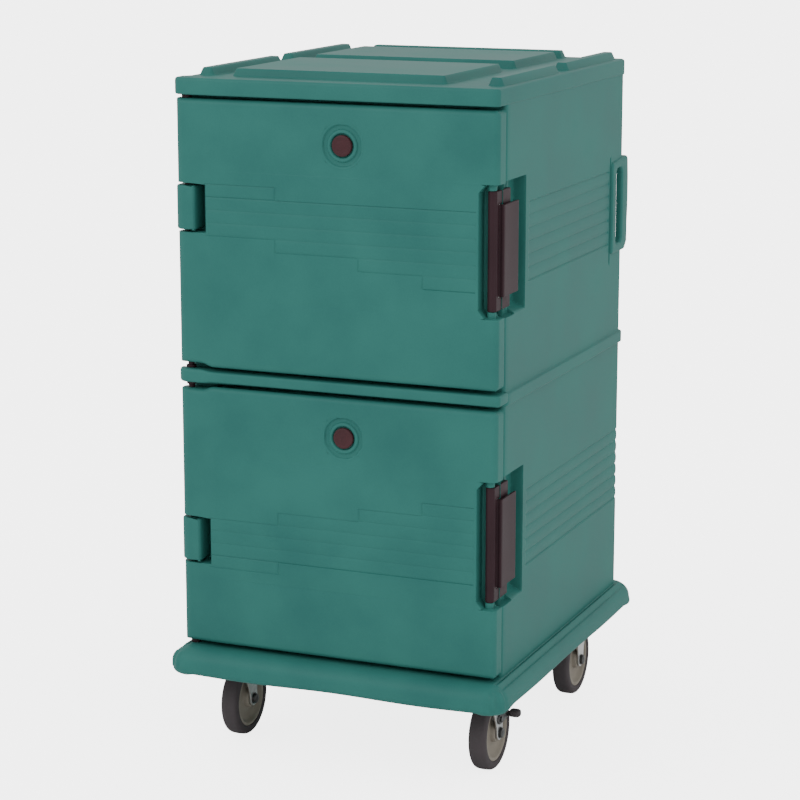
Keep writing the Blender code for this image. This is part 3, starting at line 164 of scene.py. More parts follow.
def corners(*points, turns=6):
    """A closed outline: each (x, y, radius) becomes an arc that is tangent to both its sides."""
    ring = np.array([point[:2] for point in points], float)
    made = []
    for index, (x, y, radius) in enumerate(points):
        before = ring[index - 1] - ring[index]
        after = ring[(index + 1) % len(ring)] - ring[index]
        before, after = before / np.linalg.norm(before), after / np.linalg.norm(after)
        half = math.acos(np.clip(before @ after, -1, 1)) / 2
        middle = (before + after) / np.linalg.norm(before + after)
        centre = ring[index] + middle * radius / math.sin(half)
        first = ring[index] + before * radius / math.tan(half) - centre
        last = ring[index] + after * radius / math.tan(half) - centre
        start = math.atan2(first[1], first[0])
        sweep = (math.atan2(last[1], last[0]) - start + math.pi) % (2 * math.pi) - math.pi
        angle = start + sweep * np.linspace(0, 1, turns)
        made.append(centre + radius * np.stack([np.cos(angle), np.sin(angle)], axis=-1))
    return np.concatenate(made)


def rectangle(low, high, radius, turns=6):
    """A closed outline with rounded corners between two opposite corner points."""
    (x0, y0), (x1, y1) = low, high
    return corners((x0, y0, radius), (x1, y0, radius), (x1, y1, radius), (x0, y1, radius), turns=turns)


def with_sides(ring, turns, between):
    """The closed outline again, with this many more points along each straight between arcs."""
    arcs = ring.reshape(-1, turns, 2)
    ahead = np.roll(arcs, -1, axis=0)[:, :1]
    share = np.linspace(0, 1, between + 2)[None, 1:-1, None]
    between_arcs = arcs[:, -1:] + (ahead - arcs[:, -1:]) * share
    return np.concatenate([arcs, between_arcs], axis=1).reshape(-1, 2)


def outward(ring):
    """At each point of a closed ring, the vector whose multiple shifts both sides equally."""
    side = np.roll(ring, -1, axis=-2) - ring
    side = side / np.maximum(np.linalg.norm(side, axis=-1, keepdims=True), 1e-9)
    after = np.stack([side[..., 1], -side[..., 0]], axis=-1)
    before = np.roll(after, 1, axis=-2)
    return (after + before) / np.maximum(1 + (after * before).sum(-1, keepdims=True), 0.3)


def walked(points, shares):
    """The points at these shares of the whole length of an open polyline."""
    length = np.concatenate([[0], np.cumsum(np.linalg.norm(np.diff(points, axis=0), axis=1))])
    reach = np.asarray(shares) * length[-1]
    return np.stack([np.interp(reach, length, points[:, k]) for k in range(2)], axis=-1)


def surface(name, points, material, around=False, capped=True, flip=False, sharp=38):
    """A mesh on a grid of points: rows by columns by 3. Around joins last column to first."""
    rows, columns = points.shape[:2]
    index = np.arange(rows * columns).reshape(rows, columns)
    if around:
        index = np.hstack([index, index[:, :1]])
    faces = np.stack([index[:-1, :-1], index[:-1, 1:], index[1:, 1:], index[1:, :-1]], axis=-1)
    faces = faces.reshape(-1, 4)
    if flip:
        faces = faces[:, ::-1]
    mesh = bpy.data.meshes.new(name)
    mesh.from_pydata(points.reshape(-1, 3).tolist(), [], faces.tolist())
    work = bmesh.new()
    work.from_mesh(mesh)
    bmesh.ops.remove_doubles(work, verts=work.verts, dist=2e-6)
    if capped:
        bmesh.ops.holes_fill(work, edges=work.edges, sides=0)
        bmesh.ops.recalc_face_normals(work, faces=work.faces)
    work.to_mesh(mesh)
    work.free()
    mesh.shade_smooth()
    mesh.set_sharp_from_angle(angle=math.radians(sharp))
    mesh.materials.append(material)
    piece = bpy.data.objects.new(name, mesh)
    bpy.context.scene.collection.objects.link(piece)
    return piece


def ridged(z, lines):
    """How deep the valleys are, 0 to 1: soft crests, sinking as the power 2.6 of the distance
    from a crest's middle line, and nothing outside the first and last line."""
    pitch = lines[1] - lines[0]
    share = ((z - lines[0]) / pitch) % 1
    inner = np.abs(2 * share - 1) ** 2.6
    return inner * within(z, lines[0] - 0.001, lines[-1] + 0.001, 0.004)


def plain_material(name):
    """A new material with its node tree and its shader node."""
    material = bpy.data.materials.new(name)
    material.use_nodes = True
    return material, material.node_tree, material.node_tree.nodes["Principled BSDF"]


def noise(tree, scale, detail=2.0):
    """A noise fixed to the piece."""
    texture = tree.nodes.new("ShaderNodeTexNoise")
    texture.inputs["Scale"].default_value = scale
    texture.inputs["Detail"].default_value = detail
    place = tree.nodes.new("ShaderNodeTexCoord").outputs["Object"]
    tree.links.new(place, texture.inputs["Vector"])
    return texture.outputs["Fac"]


def tint(tree, shader, amount, *stops):
    """Colours the shader along two stops, each a place and a colour."""
    ramp = tree.nodes.new("ShaderNodeValToRGB")
    for element, (place, colour) in zip(ramp.color_ramp.elements, stops):
        element.position = place
        element.color = (*colour, 1)
    tree.links.new(amount, ramp.inputs["Fac"])
    tree.links.new(ramp.outputs["Color"], shader.inputs["Base Color"])


def roughen(tree, shader, amount, smooth, rough):
    """Lets the shader's roughness follow a noise between two values."""
    gloss = tree.nodes.new("ShaderNodeMapRange")
    gloss.inputs["To Min"].default_value = smooth
    gloss.inputs["To Max"].default_value = rough
    tree.links.new(amount, gloss.inputs["Value"])
    tree.links.new(gloss.outputs["Result"], shader.inputs["Roughness"])


def moulded(name, light, dark, smooth=0.40, rough=0.58, peel_depth=0.0006):
    """Moulded plastic or rubber: cloudy colour, faint orange peel and an uneven satin gloss."""
    material, tree, shader = plain_material(name)
    shader.inputs["Specular IOR Level"].default_value = 0.16
    cloud = noise(tree, 7.0, 4.0)
    blend = tree.nodes.new("ShaderNodeMath")
    blend.operation = "MULTIPLY_ADD"
    blend.inputs[1].default_value = 0.25
    tree.links.new(noise(tree, 420.0), blend.inputs[0])
    tree.links.new(cloud, blend.inputs[2])
    tint(tree, shader, blend.outputs[0], (0.42, dark), (0.82, light))
    roughen(tree, shader, cloud, smooth, rough)
    bump = tree.nodes.new("ShaderNodeBump")
    bump.inputs["Strength"].default_value = 0.12
    bump.inputs["Distance"].default_value = peel_depth
    tree.links.new(noise(tree, 160.0), bump.inputs["Height"])
    tree.links.new(bump.outputs["Normal"], shader.inputs["Normal"])
    return material


def fit(piece, body, slot, *nodes):
    """Marks a piece as moving with a body, in the place of these solids. The slot is not used."""
    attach(piece, body)
    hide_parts(*nodes)


def to_cabinet(piece, *nodes):
    """Marks a green piece as part of the body's moulding, in the place of these solids."""
    fit(piece, "cabinet", "green_shell", *(nodes or ("cabinet_shell",)))


green = moulded("green_polyethylene", (0.034, 0.172, 0.148), (0.025, 0.140, 0.124))


def body_wall(side):
    """Half the outer wall, from the front frame round the rear corner to the middle of the
    back. Each row is the plan of the wall at that height, moved along its normal: out for the
    bead, in for the valleys and the latch pocket. Between hand_low and hand_high the rear
    corner gives way to the notch for the hand."""
    along_y = closer(frame_y + 0.008, hand_y - 0.001, 0.014,
                     [seat_rear, lip_rear, pocket_rear, band_front, band_rear, groove_front, groove_rear])
    along_x = closer(0.0, hand_x, 0.016, [0.235])[::-1]
    turn = np.linspace(0, math.pi / 2, 6)
    front = np.stack([body_x - 0.008 + 0.008 * np.sin(turn), frame_y + 0.008 - 0.008 * np.cos(turn)], -1)
    straight = np.stack([np.full_like(along_y, body_x), along_y], -1)
    arc = np.linspace(0, math.pi / 2, 12)
    plain_end = np.concatenate([
        [[body_x, hand_y]],
        np.stack([body_x - wall_corner * (1 - np.cos(arc)),
                  body_back - wall_corner * (1 - np.sin(arc))], -1),
        [[hand_x, body_back]]])
    notch_end = np.array([[body_x, hand_y], [body_x - 0.001, hand_y + 0.001],
                          [hand_x + 0.006, hand_y + 0.001], [hand_x + 0.001, hand_y + 0.006],
                          [hand_x, body_back - 0.001], [hand_x, body_back]])
    shares = np.linspace(0, 1, 40)
    back = np.stack([along_x, np.full_like(along_x, body_back)], -1)
    plain = np.concatenate([front[:-1], straight, walked(plain_end, shares)[1:-1], back])
    notched = np.concatenate([front[:-1], straight, walked(notch_end, shares)[1:-1], back])
    slope = np.gradient(plain, axis=0)
    slope /= np.linalg.norm(slope, axis=1, keepdims=True)
    normal = np.stack([slope[:, 1], -slope[:, 0]], -1)
    heights = closer(skirt_top - 0.02, lid_bottom + 0.006, 0.005, [
        *ridge_lines["lower"], *ridge_lines["upper"], bead_low, bead_high, hand_low, hand_high,
        *(door_middle[level] + half for level in door_middle for half in (-pocket_half, pocket_half))])
    z = heights[:, None]
    opened = within(z, hand_low, hand_high, 0.003)[..., None]
    plan = plain[None] * (1 - opened) + notched[None] * opened
    y, x = plain[None, :, 1], plain[None, :, 0]
    on_side = (x > body_x - 0.001) | (y < 0)
    shift = bead_proud * within(z, bead_low, bead_high, 0.005) * np.ones_like(y)
    side_band = within(y, band_front, band_rear, 0.006) * on_side
    back_band = within(x, -1, 0.235, 0.006) * (y > body_back - 0.001)
    wrapped = np.maximum(ease(y, band_front - 0.003, band_front + 0.003), (x < body_x - 0.001) & (y > 0))
    shift = shift - side_ridge_depth * ridged(z, ridge_lines["upper"]) * np.maximum(side_band, back_band)
    shift = shift - side_ridge_depth * ridged(z, ridge_lines["lower"]) * wrapped
    shift = shift - groove_depth * within(y, groove_front, groove_rear, 0.0024) * within(
        z, hand_low - 0.038, hand_high + 0.022, 0.010) * on_side
    if side > 0:
        for level in door_middle:
            beside = within(z, door_middle[level] - pocket_half, door_middle[level] + pocket_half, 0.002)
            floor_slope = ease(z, door_middle[level] - pocket_half, door_middle[level] - pocket_half + 0.016)
            seat = seat_depth * within(y, frame_y - 0.05, seat_rear, 0.001)
            lip = lip_depth * within(y, seat_rear, lip_rear, 0.001)
            pocket = pocket_depth * within(y, lip_rear, pocket_rear, 0.0016) * floor_slope
            shift = shift - beside * (seat + lip + pocket) * on_side
    shift = shift + 0.0003 * np.sin(9 * z + 4 * y) * np.sin(13 * x + 7 * y + 3) * (1 - opened[..., 0])
    plan = plan + normal[None] * shift[..., None]
    points = np.concatenate([plan, np.broadcast_to(z[..., None], (*plan.shape[:2], 1))], axis=-1)
    points[..., 0] *= side
    return points


for side, word in ((1, "right"), (-1, "left")):
    wall = surface(f"{word}_wall", body_wall(side), green, capped=False, flip=side < 0, sharp=60)
    to_cabinet(wall)

# ---- Lid ----------------------------------------------------------------------------------------
# The top is part of the same moulding: a deck with rounded edges that overhangs the doors a
# little and follows the hinge barrels at its front left corner. Low flat-topped ribs with sloping
# sides stiffen it and carry a load.
lid_outline = corners(
    (-0.262, -0.382, 0.060), (0.330, -0.382, 0.012), (0.330, 0.382, 0.018), (-0.330, 0.382, 0.018),
    (-0.330, -0.328, 0.012), (-0.3425, -0.341, 0.008), (-0.3425, -0.3785, 0.0195), turns=9)


def slab(outline, low, high, low_edge, high_edge, steps=5):
    """Rows of a body raised between two heights: the outline drawn in by a quarter circle of
    the edge's radius at the bottom and at the top."""
    turn = np.linspace(0, math.pi / 2, steps)
    inset = np.concatenate([low_edge * (1 - np.sin(turn)), high_edge * (1 - np.cos(turn))])
    height = np.concatenate([low + low_edge * (1 - np.cos(turn)), high - high_edge * (1 - np.sin(turn))])
    plan = outline[None] - outward(outline)[None] * inset[:, None, None]
    return np.concatenate([plan, np.broadcast_to(height[:, None, None], (*plan.shape[:2], 1))], -1)


def rib(outline, low, high, slope):
    """Rows of a raised flat: sides that lean in by slope, with a soft crease at the foot and a
    rounded shoulder. The share of the height rises as a blend of a line and an ease curve."""
    share = np.linspace(0, 1, 9)
    inset = slope * share
    height = low + (high - low) * (0.35 * share + 0.65 * ease(share, 0.0, 1.0))
    plan = outline[None] - outward(outline)[None] * inset[:, None, None]
    return np.concatenate([plan, np.broadcast_to(height[:, None, None], (*plan.shape[:2], 1))], -1)


to_cabinet(surface("lid", slab(lid_outline, lid_bottom, lid_top, 0.004, 0.006), green, around=True))
rib_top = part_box("cabinet_shell")[1].z
rib_slope = 0.009
rib_corner = 0.011
for name, (x0, x1, y0, y1) in {
    "front_lid_rib": (-0.244, 0.204, -0.322, -0.015),
    "rear_lid_rib": (-0.244, 0.204, 0.050, 0.313),
    "back_lid_rib": (-0.234, 0.204, 0.328, 0.368),
    "left_front_edge_rib": (-0.316, -0.281, -0.322, 0.0),
    "left_rear_edge_rib": (-0.316, -0.281, 0.045, 0.358),
    "right_front_edge_rib": (0.281, 0.316, -0.322, 0.0),
    "right_rear_edge_rib": (0.281, 0.316, 0.045, 0.358),
}.items():
    ring = rectangle((x0, y0), (x1, y1), rib_corner, turns=7)
    to_cabinet(surface(name, rib(ring, lid_top - 0.001, rib_top, rib_slope), green, around=True))

# ---- Bumper skirt -------------------------------------------------------------------------------
# The foot of the moulding bulges out all round as a bumper. It is hollow behind, so its rim hangs
# round the caster plates. Each front corner has two upright pads.
skirt_x, skirt_y, skirt_bottom = skirt_high.x, skirt_high.y, skirt_low.z
skirt_corner = 0.045
underside = 0.190
rim = 0.034
pad_angles = ((-66, -52), (-38, -24))  # degrees round a front corner from straight sideways


def skirt_rows():
    """The plan drawn in along a bumper section: a long elliptical shoulder from the top, a
    tight round at the bottom, then up inside the rim to the underside. Along the sides a
    shallow groove and a low ridge follow the wall. The pads push the corners out a little,
    and the bottom edge steps up behind each corner, then rises and falls by millimetres."""
    quarter = np.linspace(0, math.pi / 2, 25)
    ring = []
    for sx, sy, start in ((1, -1, -math.pi / 2), (1, 1, 0), (-1, 1, math.pi / 2), (-1, -1, math.pi)):
        centre = np.array([sx * (skirt_x - skirt_corner), sy * (skirt_y - skirt_corner)])
        ring.append(centre + skirt_corner * np.stack([np.cos(start + quarter), np.sin(start + quarter)], -1))
    ring = np.stack(ring)
    outline = with_sides(ring.reshape(-1, 2), len(quarter), 48)
    shoulder = np.concatenate([np.linspace(0, 0.80, 24)[:-1], np.linspace(0.80, math.pi / 2, 12)])
    under = np.linspace(0, math.pi / 2, 6)
    inset = np.concatenate([
        0.0405 - 0.0385 * np.sin(shoulder), [0.0], 0.010 * (1 - np.cos(under)), [rim - 0.006, rim, rim]])
    height = np.concatenate([
        0.190 + (skirt_top - 0.190) * np.cos(shoulder), [0.181],
        skirt_bottom + 0.010 * (1 - np.sin(under)), [skirt_bottom + 0.001, skirt_bottom + 0.006, underside]])
    x, y = outline[:, 0], outline[:, 1]
    angle = np.degrees(np.arctan2(y + skirt_y - skirt_corner, np.abs(x) - skirt_x + skirt_corner))
    corner_zone = (np.abs(x) > skirt_x - skirt_corner) & (y < -skirt_y + skirt_corner)
    pad = sum(within(angle, first, last, 5) for first, last in pad_angles) * corner_zone
    upright = within(height, 0.181, 0.212, 0.006) * (inset < 0.03)
    inset = inset[:, None] - 0.0036 * upright[:, None] * pad[None]
    plan = outline[None] - outward(outline)[None] * inset[..., None]
    along_side = np.abs(x) > skirt_x - 0.002
    step = 0.0045 * within(y, -skirt_y + 0.060, skirt_y - 0.060, 0.010) * (np.abs(x) > skirt_x - 0.04)
    wave = np.where(along_side, 0.0015 * (1 + np.cos(2 * math.pi * y / 0.42)),
                    0.0015 * (1 + np.cos(2 * math.pi * x / 0.36)) * (np.abs(x) < skirt_x - skirt_corner))
    low_share = np.clip((0.19 - height) / 0.022, 0, 1) * (height < 0.189)
    ridge = (0.0022 * np.exp(-((inset - 0.0240) / 0.0030) ** 2)
             - 0.0012 * np.exp(-((inset - 0.0300) / 0.0016) ** 2)
             - 0.0024 * np.exp(-((inset - 0.0165) / 0.0030) ** 2))
    ridge = ridge * (height > 0.195)[:, None] * along_side
    z = height[:, None] + low_share[:, None] * (step + wave)[None] + ridge
    return np.concatenate([plan, z[..., None]], -1)


to_cabinet(surface("bumper", skirt_rows(), green, around=True, sharp=50), "bumper_skirt")

# ---- Front frame and compartments ---------------------------------------------------------------
# Behind each door the moulding turns in round the opening and becomes the inner skin: a smooth
# liner with six pan rails on each side, their front ends rounded off.
opening_x = 0.273
liner_back = 0.325
compartment = {"lower": (0.250, 0.734), "upper": (0.813, 1.297)}
frame_edge = {"lower": (skirt_top - 0.01, 0.774), "upper": (0.774, lid_bottom + 0.004)}
rail_pitch, rail_first, rail_high, rail_deep = 0.074, 0.045, 0.012, 0.016


def ring_of(x, low, high, radius, shares):
    """A rounded rectangle of half width x from low to high, counter-clockwise from the front,
    whose uprights are divided at these shares of their height."""
    bend = np.linspace(0, math.pi / 2, 7)
    arcs = []
    for cx, cz, start in ((x - radius, low + radius, -math.pi / 2), (x - radius, high - radius, 0),
                          (-x + radius, high - radius, math.pi / 2), (-x + radius, low + radius, math.pi)):
        arcs.append(np.stack([cx + radius * np.cos(start + bend), cz + radius * np.sin(start + bend)], -1))
    right = arcs[0][-1] + (arcs[1][0] - arcs[0][-1]) * shares[:, None]
    left = arcs[2][-1] + (arcs[3][0] - arcs[2][-1]) * (1 - shares[::-1])[:, None]
    return np.concatenate([arcs[0], right, arcs[1], arcs[2], left, arcs[3]])


def compartment_rows(level):
    """Rings from the frame's outer edge to the opening, round its lip and back to the liner's
    rear wall. On the uprights the rings are pushed in by the pan rails: rounded bumps in
    height, faded out at both ends of their length."""
    low, high = compartment[level]
    rails = low + rail_first + rail_pitch * np.arange(6)
    edges = np.concatenate([rails, rails + rail_high])
    heights = closer(low + 0.015, high - 0.015, 0.03, edges, close_steps[2:-2])
    shares = (heights - heights[0]) / (heights[-1] - heights[0])
    shares = shares[1:-1]
    outer = ring_of(body_x - 0.006, *frame_edge[level], 0.002, shares)
    mouth = ring_of(opening_x, low, high, 0.015, shares)
    grow = outward(mouth)
    bend = np.linspace(0, math.pi / 2, 6)
    deep = closer(frame_y + 0.007, liner_back - 0.012, 0.05, [-0.300, 0.300], close_steps)
    lip_round, rear_round = 0.006, 0.012
    rings = [(outer, frame_y)]
    for angle in bend:
        rings.append((mouth + grow * lip_round * (1 - math.sin(angle)),
                      frame_y + lip_round * (1 - math.cos(angle))))
    bump = sum(within(mouth[:, 1], z0, z0 + rail_high, 0.007) for z0 in rails)
    upright = np.abs(mouth[:, 0]) > opening_x - 0.0005
    for y in deep:
        push = rail_deep * bump * upright * within(y, -0.300, 0.300, 0.010)
        rings.append((mouth - grow * push[:, None], y))
    for angle in bend:
        rings.append((mouth - grow * rear_round * (1 - math.cos(angle)),
                      liner_back - rear_round + rear_round * math.sin(angle)))
    rows = [np.stack([ring[:, 0], np.full(len(ring), y), ring[:, 1]], -1) for ring, y in rings]
    centre = np.array([0, liner_back, (low + high) / 2])
    rows.append(np.broadcast_to(centre, rows[-1].shape))
    return np.stack(rows)


for level in compartment:
    space = surface(f"{level}_compartment", compartment_rows(level), green, around=True, capped=False)
    to_cabinet(space, "cabinet_shell", f"{level}_liner")

# ---- Middle rail and hinge knuckles -------------------------------------------------------------
# The rail between the doors and the knuckle of each door's hinge are moulded on the frame. Their
# left ends are round about the hinge line, and nylon pins go down through them.
hinge_x, hinge_y = -0.321, -0.357
rail_low, rail_high_z = 0.7635, 0.7845


def barrel_plan(radius, right, rear):
    """Plan of a knuckle: a round end about the hinge line, its front running on to right and
    its back to rear."""
    angle = np.linspace(math.pi * 0.97, math.pi * 1.52, 20)
    arc = np.stack([hinge_x + radius * np.cos(angle), hinge_y + radius * np.sin(angle)], -1)
    face = hinge_y - radius
    front = np.array([[-0.300, face - 0.0008], [right - 0.004, face - 0.0012],
                      [right - 0.001, face + 0.001], [right, face + 0.004], [right, rear]])
    return np.concatenate([arc, front, [[hinge_x - radius, rear]]])


knuckle_plan = barrel_plan(0.0222, -0.297, frame_y + 0.004)
knuckle_rise, knuckle_half = 0.051, 0.04325
for level, way in (("lower", -1), ("upper", 1)):
    centre = door_middle[level] + way * knuckle_rise
    rows = slab(knuckle_plan, centre - knuckle_half, centre + knuckle_half, 0.004, 0.004)
    to_cabinet(surface(f"{level}_hinge_knuckle", rows, green, around=True))

rail_plan = np.concatenate([
    knuckle_plan[:20],
    np.stack([np.linspace(-0.300, -0.262, 8), np.linspace(-0.3795, -0.380, 8)], -1),
    corners((0.334, -0.380, 0.008), (0.334, -0.330, 0.002), (-0.3432, -0.330, 0.002))])
rail_rows = slab(rail_plan, rail_low, rail_high_z, 0.0045, 0.0045)
rail_middle = (rail_low + rail_high_z) / 2
rail_end_half = 0.0135
widen = 1 + (2 * rail_end_half / (rail_high_z - rail_low) - 1) * (1 - ease(rail_plan[:, 0], -0.290, -0.268))
rail_rows[..., 2] = rail_middle + (rail_rows[..., 2] - rail_middle) * widen
to_cabinet(surface("middle_rail", rail_rows, green, around=True))

# ---- Doors --------------------------------------------------------------------------------------
# Each door is a hollow moulding filled with foam. Its left edge is the hinge barrel with a notch
# for the body's knuckle, its right edge has a recess for the latch bar, and its face carries
# stepped bands of low ridges and a dish for the vent. A raised plug on the back fits the opening.
door_back = door_front + 0.038
door_right = 0.330
barrel_radius = 0.0195
facet_x = -0.262
notch_x = -0.2745
notch_half = 0.04725
recess_x = 0.290
recess_half = 0.125
plug_x, plug_back = 0.262, door_back + 0.020
vent_x, vent_drop = 0.015, 0.077
dish_edge = 0.039
door_ridge_depth = 0.0016
plug_zone = 0.032 + 0.001 * np.arange(-4, 5)  # how far the plug's edge lies from the door's
band_steps = (-0.275, -0.1256, 0.0474, 0.1786, 0.2850)  # where one column of ridges meets the next
band_counts = (4, 4, 5, 6)


def door_rows(level):
    """The plan of the door at each height, from the front's left end round the right edge, the
    back and the barrel. The left end blends into the notch and the right end into the latch
    recess. At the top and bottom the plan draws in by a quarter circle whose radius is large
    for the front and right faces and small for the back. The ridges and the vent push the
    front in."""
    low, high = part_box(f"{level}_door_shell")[0].z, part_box(f"{level}_door_shell")[1].z
    up = 1 if level == "upper" else -1
    knuckle = door_middle[level] + up * knuckle_rise
    vent_z = high - vent_drop
    front_x = closer(facet_x, recess_x - 0.002, 0.012, [
        *band_steps[1:], vent_x - dish_edge, vent_x + dish_edge])
    front = np.stack([front_x, np.full_like(front_x, door_front)], -1)
    bend = np.linspace(0, math.pi / 2, 9)
    start_right = [[recess_x - 0.002, door_front]]
    plain_right = np.concatenate([
        start_right,
        np.stack([door_right - 0.010 * (1 - np.sin(bend)), door_front + 0.010 * (1 - np.cos(bend))], -1),
        [[door_right, door_back - 0.003], [door_right - 0.001, door_back - 0.001],
         [door_right - 0.003, door_back]]])
    flange = door_front + 0.032
    recess_right = np.array([
        [recess_x - 0.002, door_front], [recess_x - 0.0008, door_front + 0.0003],
        [recess_x, door_front + 0.0015],
        [recess_x, flange - 0.002], [recess_x + 0.0006, flange - 0.0006], [recess_x + 0.002, flange],
        [0.307, flange], [0.3093, flange + 0.0007], [0.310, flange + 0.003], [0.3095, door_back - 0.0005],
        [0.308, door_back]])
    back_x = np.array([
        0.295, 0.280, plug_x + 0.001, plug_x, plug_x - 0.002, plug_x - 0.005, 0.150, 0.0, -0.150,
        -plug_x + 0.005, -plug_x + 0.002, -plug_x, -plug_x - 0.001, -0.270])
    back = np.stack([back_x, np.full_like(back_x, door_back)], -1)
    round_end = np.linspace(math.pi * 0.40, math.pi * 1.535, 26)
    plain_left = np.concatenate([
        [[-0.270, door_back], [-0.300, door_back - 0.0005]],
        np.stack([hinge_x + barrel_radius * np.cos(round_end),
                  hinge_y + barrel_radius * np.sin(round_end)], -1),
        [[facet_x, door_front]]])
    notch_left = np.array([
        [-0.270, door_back], [notch_x + 0.002, door_back - 0.0006], [notch_x, door_back - 0.003],
        [notch_x, door_front + 0.003], [notch_x + 0.0009, door_front + 0.0009], [notch_x + 0.003, door_front],
        [facet_x, door_front]])
    shares = np.linspace(0, 1, 44)
    right_plain, right_recess = walked(plain_right, shares)[1:-1], walked(recess_right, shares)[1:-1]
    left_plain, left_notch = walked(plain_left, shares)[1:-1], walked(notch_left, shares)[1:-1]
    lines = ridge_lines[level]
    first = lines[-1] + ridge_pitch if up > 0 else lines[0] - ridge_pitch
    heights = closer(low, high, 0.010, [
        *lines, first, knuckle - notch_half, knuckle + notch_half, vent_z - dish_edge, vent_z + dish_edge,
        door_middle[level] - recess_half, door_middle[level] + recess_half,
        door_middle[level] - recess_half + 0.016, door_middle[level] + recess_half - 0.016])
    ends = 0.012 * (1 - np.cos(np.linspace(0, math.pi / 2, 9)))
    heights = np.unique(np.concatenate([heights, low + ends, high - ends, low + plug_zone, high - plug_zone]))
    z = heights[:, None, None]
    in_notch = within(z, knuckle - notch_half, knuckle + notch_half, 0.0022)
    away = np.abs(z - door_middle[level])
    in_recess = 1 - ease(away, recess_half - 0.0012, recess_half + 0.0012)
    slant = np.clip((away - (recess_half - 0.015)) / 0.015, 0, 1)
    right = right_plain[None] * (1 - in_recess) + right_recess[None] * in_recess
    slide = (0.013 * slant * in_recess * (1 - ease(right[..., :1], recess_x + 0.004, door_right)))[..., 0]
    right = right.copy()
    right[..., 0] += slide
    left = left_plain[None] * (1 - in_notch) + left_notch[None] * in_notch
    rows = len(heights)
    plan = np.concatenate([
        np.broadcast_to(front[None], (rows, *front.shape)), right,
        np.broadcast_to(back[None], (rows, *back.shape)), left], axis=1)
    x, y = plan[..., 0], plan[..., 1]
    height = np.broadcast_to(heights[:, None], x.shape)
    facing = ease(-y, -door_front - 0.0024, -door_front - 0.0008)
    inside = np.zeros_like(x)
    spans = []
    for index, count in enumerate(band_counts):
        if up > 0:
            top = lines[-1] + (ridge_pitch if index == 0 else 0)
            span = (top - count * ridge_pitch, top)
        else:
            bottom = lines[0] - (ridge_pitch if index == 0 else 0)
            span = (bottom, bottom + count * ridge_pitch)
        spans.append(within(height, *span, 0.0008))
        inside += spans[-1] * within(x, band_steps[index], band_steps[index + 1], 0.0012)
    share = ((height - lines[0]) / ridge_pitch) % 1
    crisp = np.minimum(np.abs(height - lines[0]), np.abs(height - lines[-1])) < 0.5 * ridge_pitch
    valley = np.where(crisp, np.abs(2 * share - 1) ** 8, 0.75 * np.abs(2 * share - 1) ** 3.5) * inside
    for index, step in enumerate(band_steps[1:-1]):
        exposed = np.abs(spans[index] - spans[index + 1])
        valley = np.maximum(valley, 0.8 * exposed * np.exp(-((x - step) / 0.0016) ** 2))
    push = door_ridge_depth * np.clip(valley, 0, 1)
    push += 0.009 * (1 - ease(np.hypot(x - vent_x, height - vent_z), 0.0375, 0.0405))
    push += 0.0004 * np.sin(7 * x + 2) * np.sin(6 * height + up) * (1 - in_recess[..., 0])
    plan = plan.copy()
    plan[..., 1] += push * facing
    raised = within(heights, low + 0.032, high - 0.032, 0.006)[:, None] * within(x, -plug_x, plug_x, 0.004)
    plan[..., 1] += (plug_back - door_back) * raised * (y > door_back - 0.0001)
    grow = outward(plan)
    radius = 0.0025 + 0.0075 * np.maximum(ease(-grow[..., 1], 0.5, 0.95), ease(grow[..., 0], 0.5, 0.95))
    radius *= (y < -0.3455)
    radius = np.maximum(radius, 0.002)
    near = np.minimum(heights - low, high - heights)[:, None]
    gap = np.clip(radius - near, 0, None)
    inset = radius - np.sqrt(np.maximum(radius ** 2 - gap ** 2, 0))
    plan = plan - grow * inset[..., None]
    rail_end = low if up > 0 else high
    at_barrel = 1 - ease(plan[..., 0], -0.290, -0.266)
    shorter = 0.0065 * at_barrel * (1 - ease(np.abs(height - rail_end), 0, 0.05))
    z = height + up * shorter
    return np.concatenate([plan, z[..., None]], -1)


def vent_dish(level):
    """A turned dish: from a hair's breadth of lip on the door's face down to a flat floor, over
    a raised ring and down again to the seat of the cap. Radius and depth pairs run outside in."""
    profile = np.array([
        [0.0455, -0.0008], [0.0445, 0.0001], [0.0425, 0.0001], [0.0412, -0.0003], [0.0400, -0.0015],
        [0.0392, -0.0031], [0.0380, -0.0040], [0.0340, -0.0043], [0.0318, -0.0040], [0.0308, -0.0028],
        [0.0300, -0.0014], [0.0288, -0.0006], [0.0262, -0.0005], [0.0245, -0.0010], [0.0232, -0.0026],
        [0.0224, -0.0046], [0.0216, -0.0062], [0.0150, -0.0065], [0.0, -0.0065]])
    around = np.linspace(0, 2 * math.pi, 72, endpoint=False)
    radius, depth = profile[:, :1], profile[:, 1:]
    x = vent_x + radius * np.cos(around)
    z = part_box(f"{level}_door_shell")[1].z - vent_drop + radius * np.sin(around)
    y = np.broadcast_to(door_front - depth, x.shape)
    return np.stack([x, y, z], -1)


for level in ("upper", "lower"):
    door = surface(f"{level}_door", door_rows(level), green, around=True, sharp=55)
    dish = surface(f"{level}_vent_dish", vent_dish(level), green, around=True, capped=False, flip=True)
    for piece in (door, dish):
        fit(piece, f"{level}_door", "green_shell", f"{level}_door_shell")

# ---- Hand grips ---------------------------------------------------------------------------------
# A moulded plate closes each notch in the rear corners. Its window leaves a bar at the back for
# the hand, which swells a little at the height of the palm.


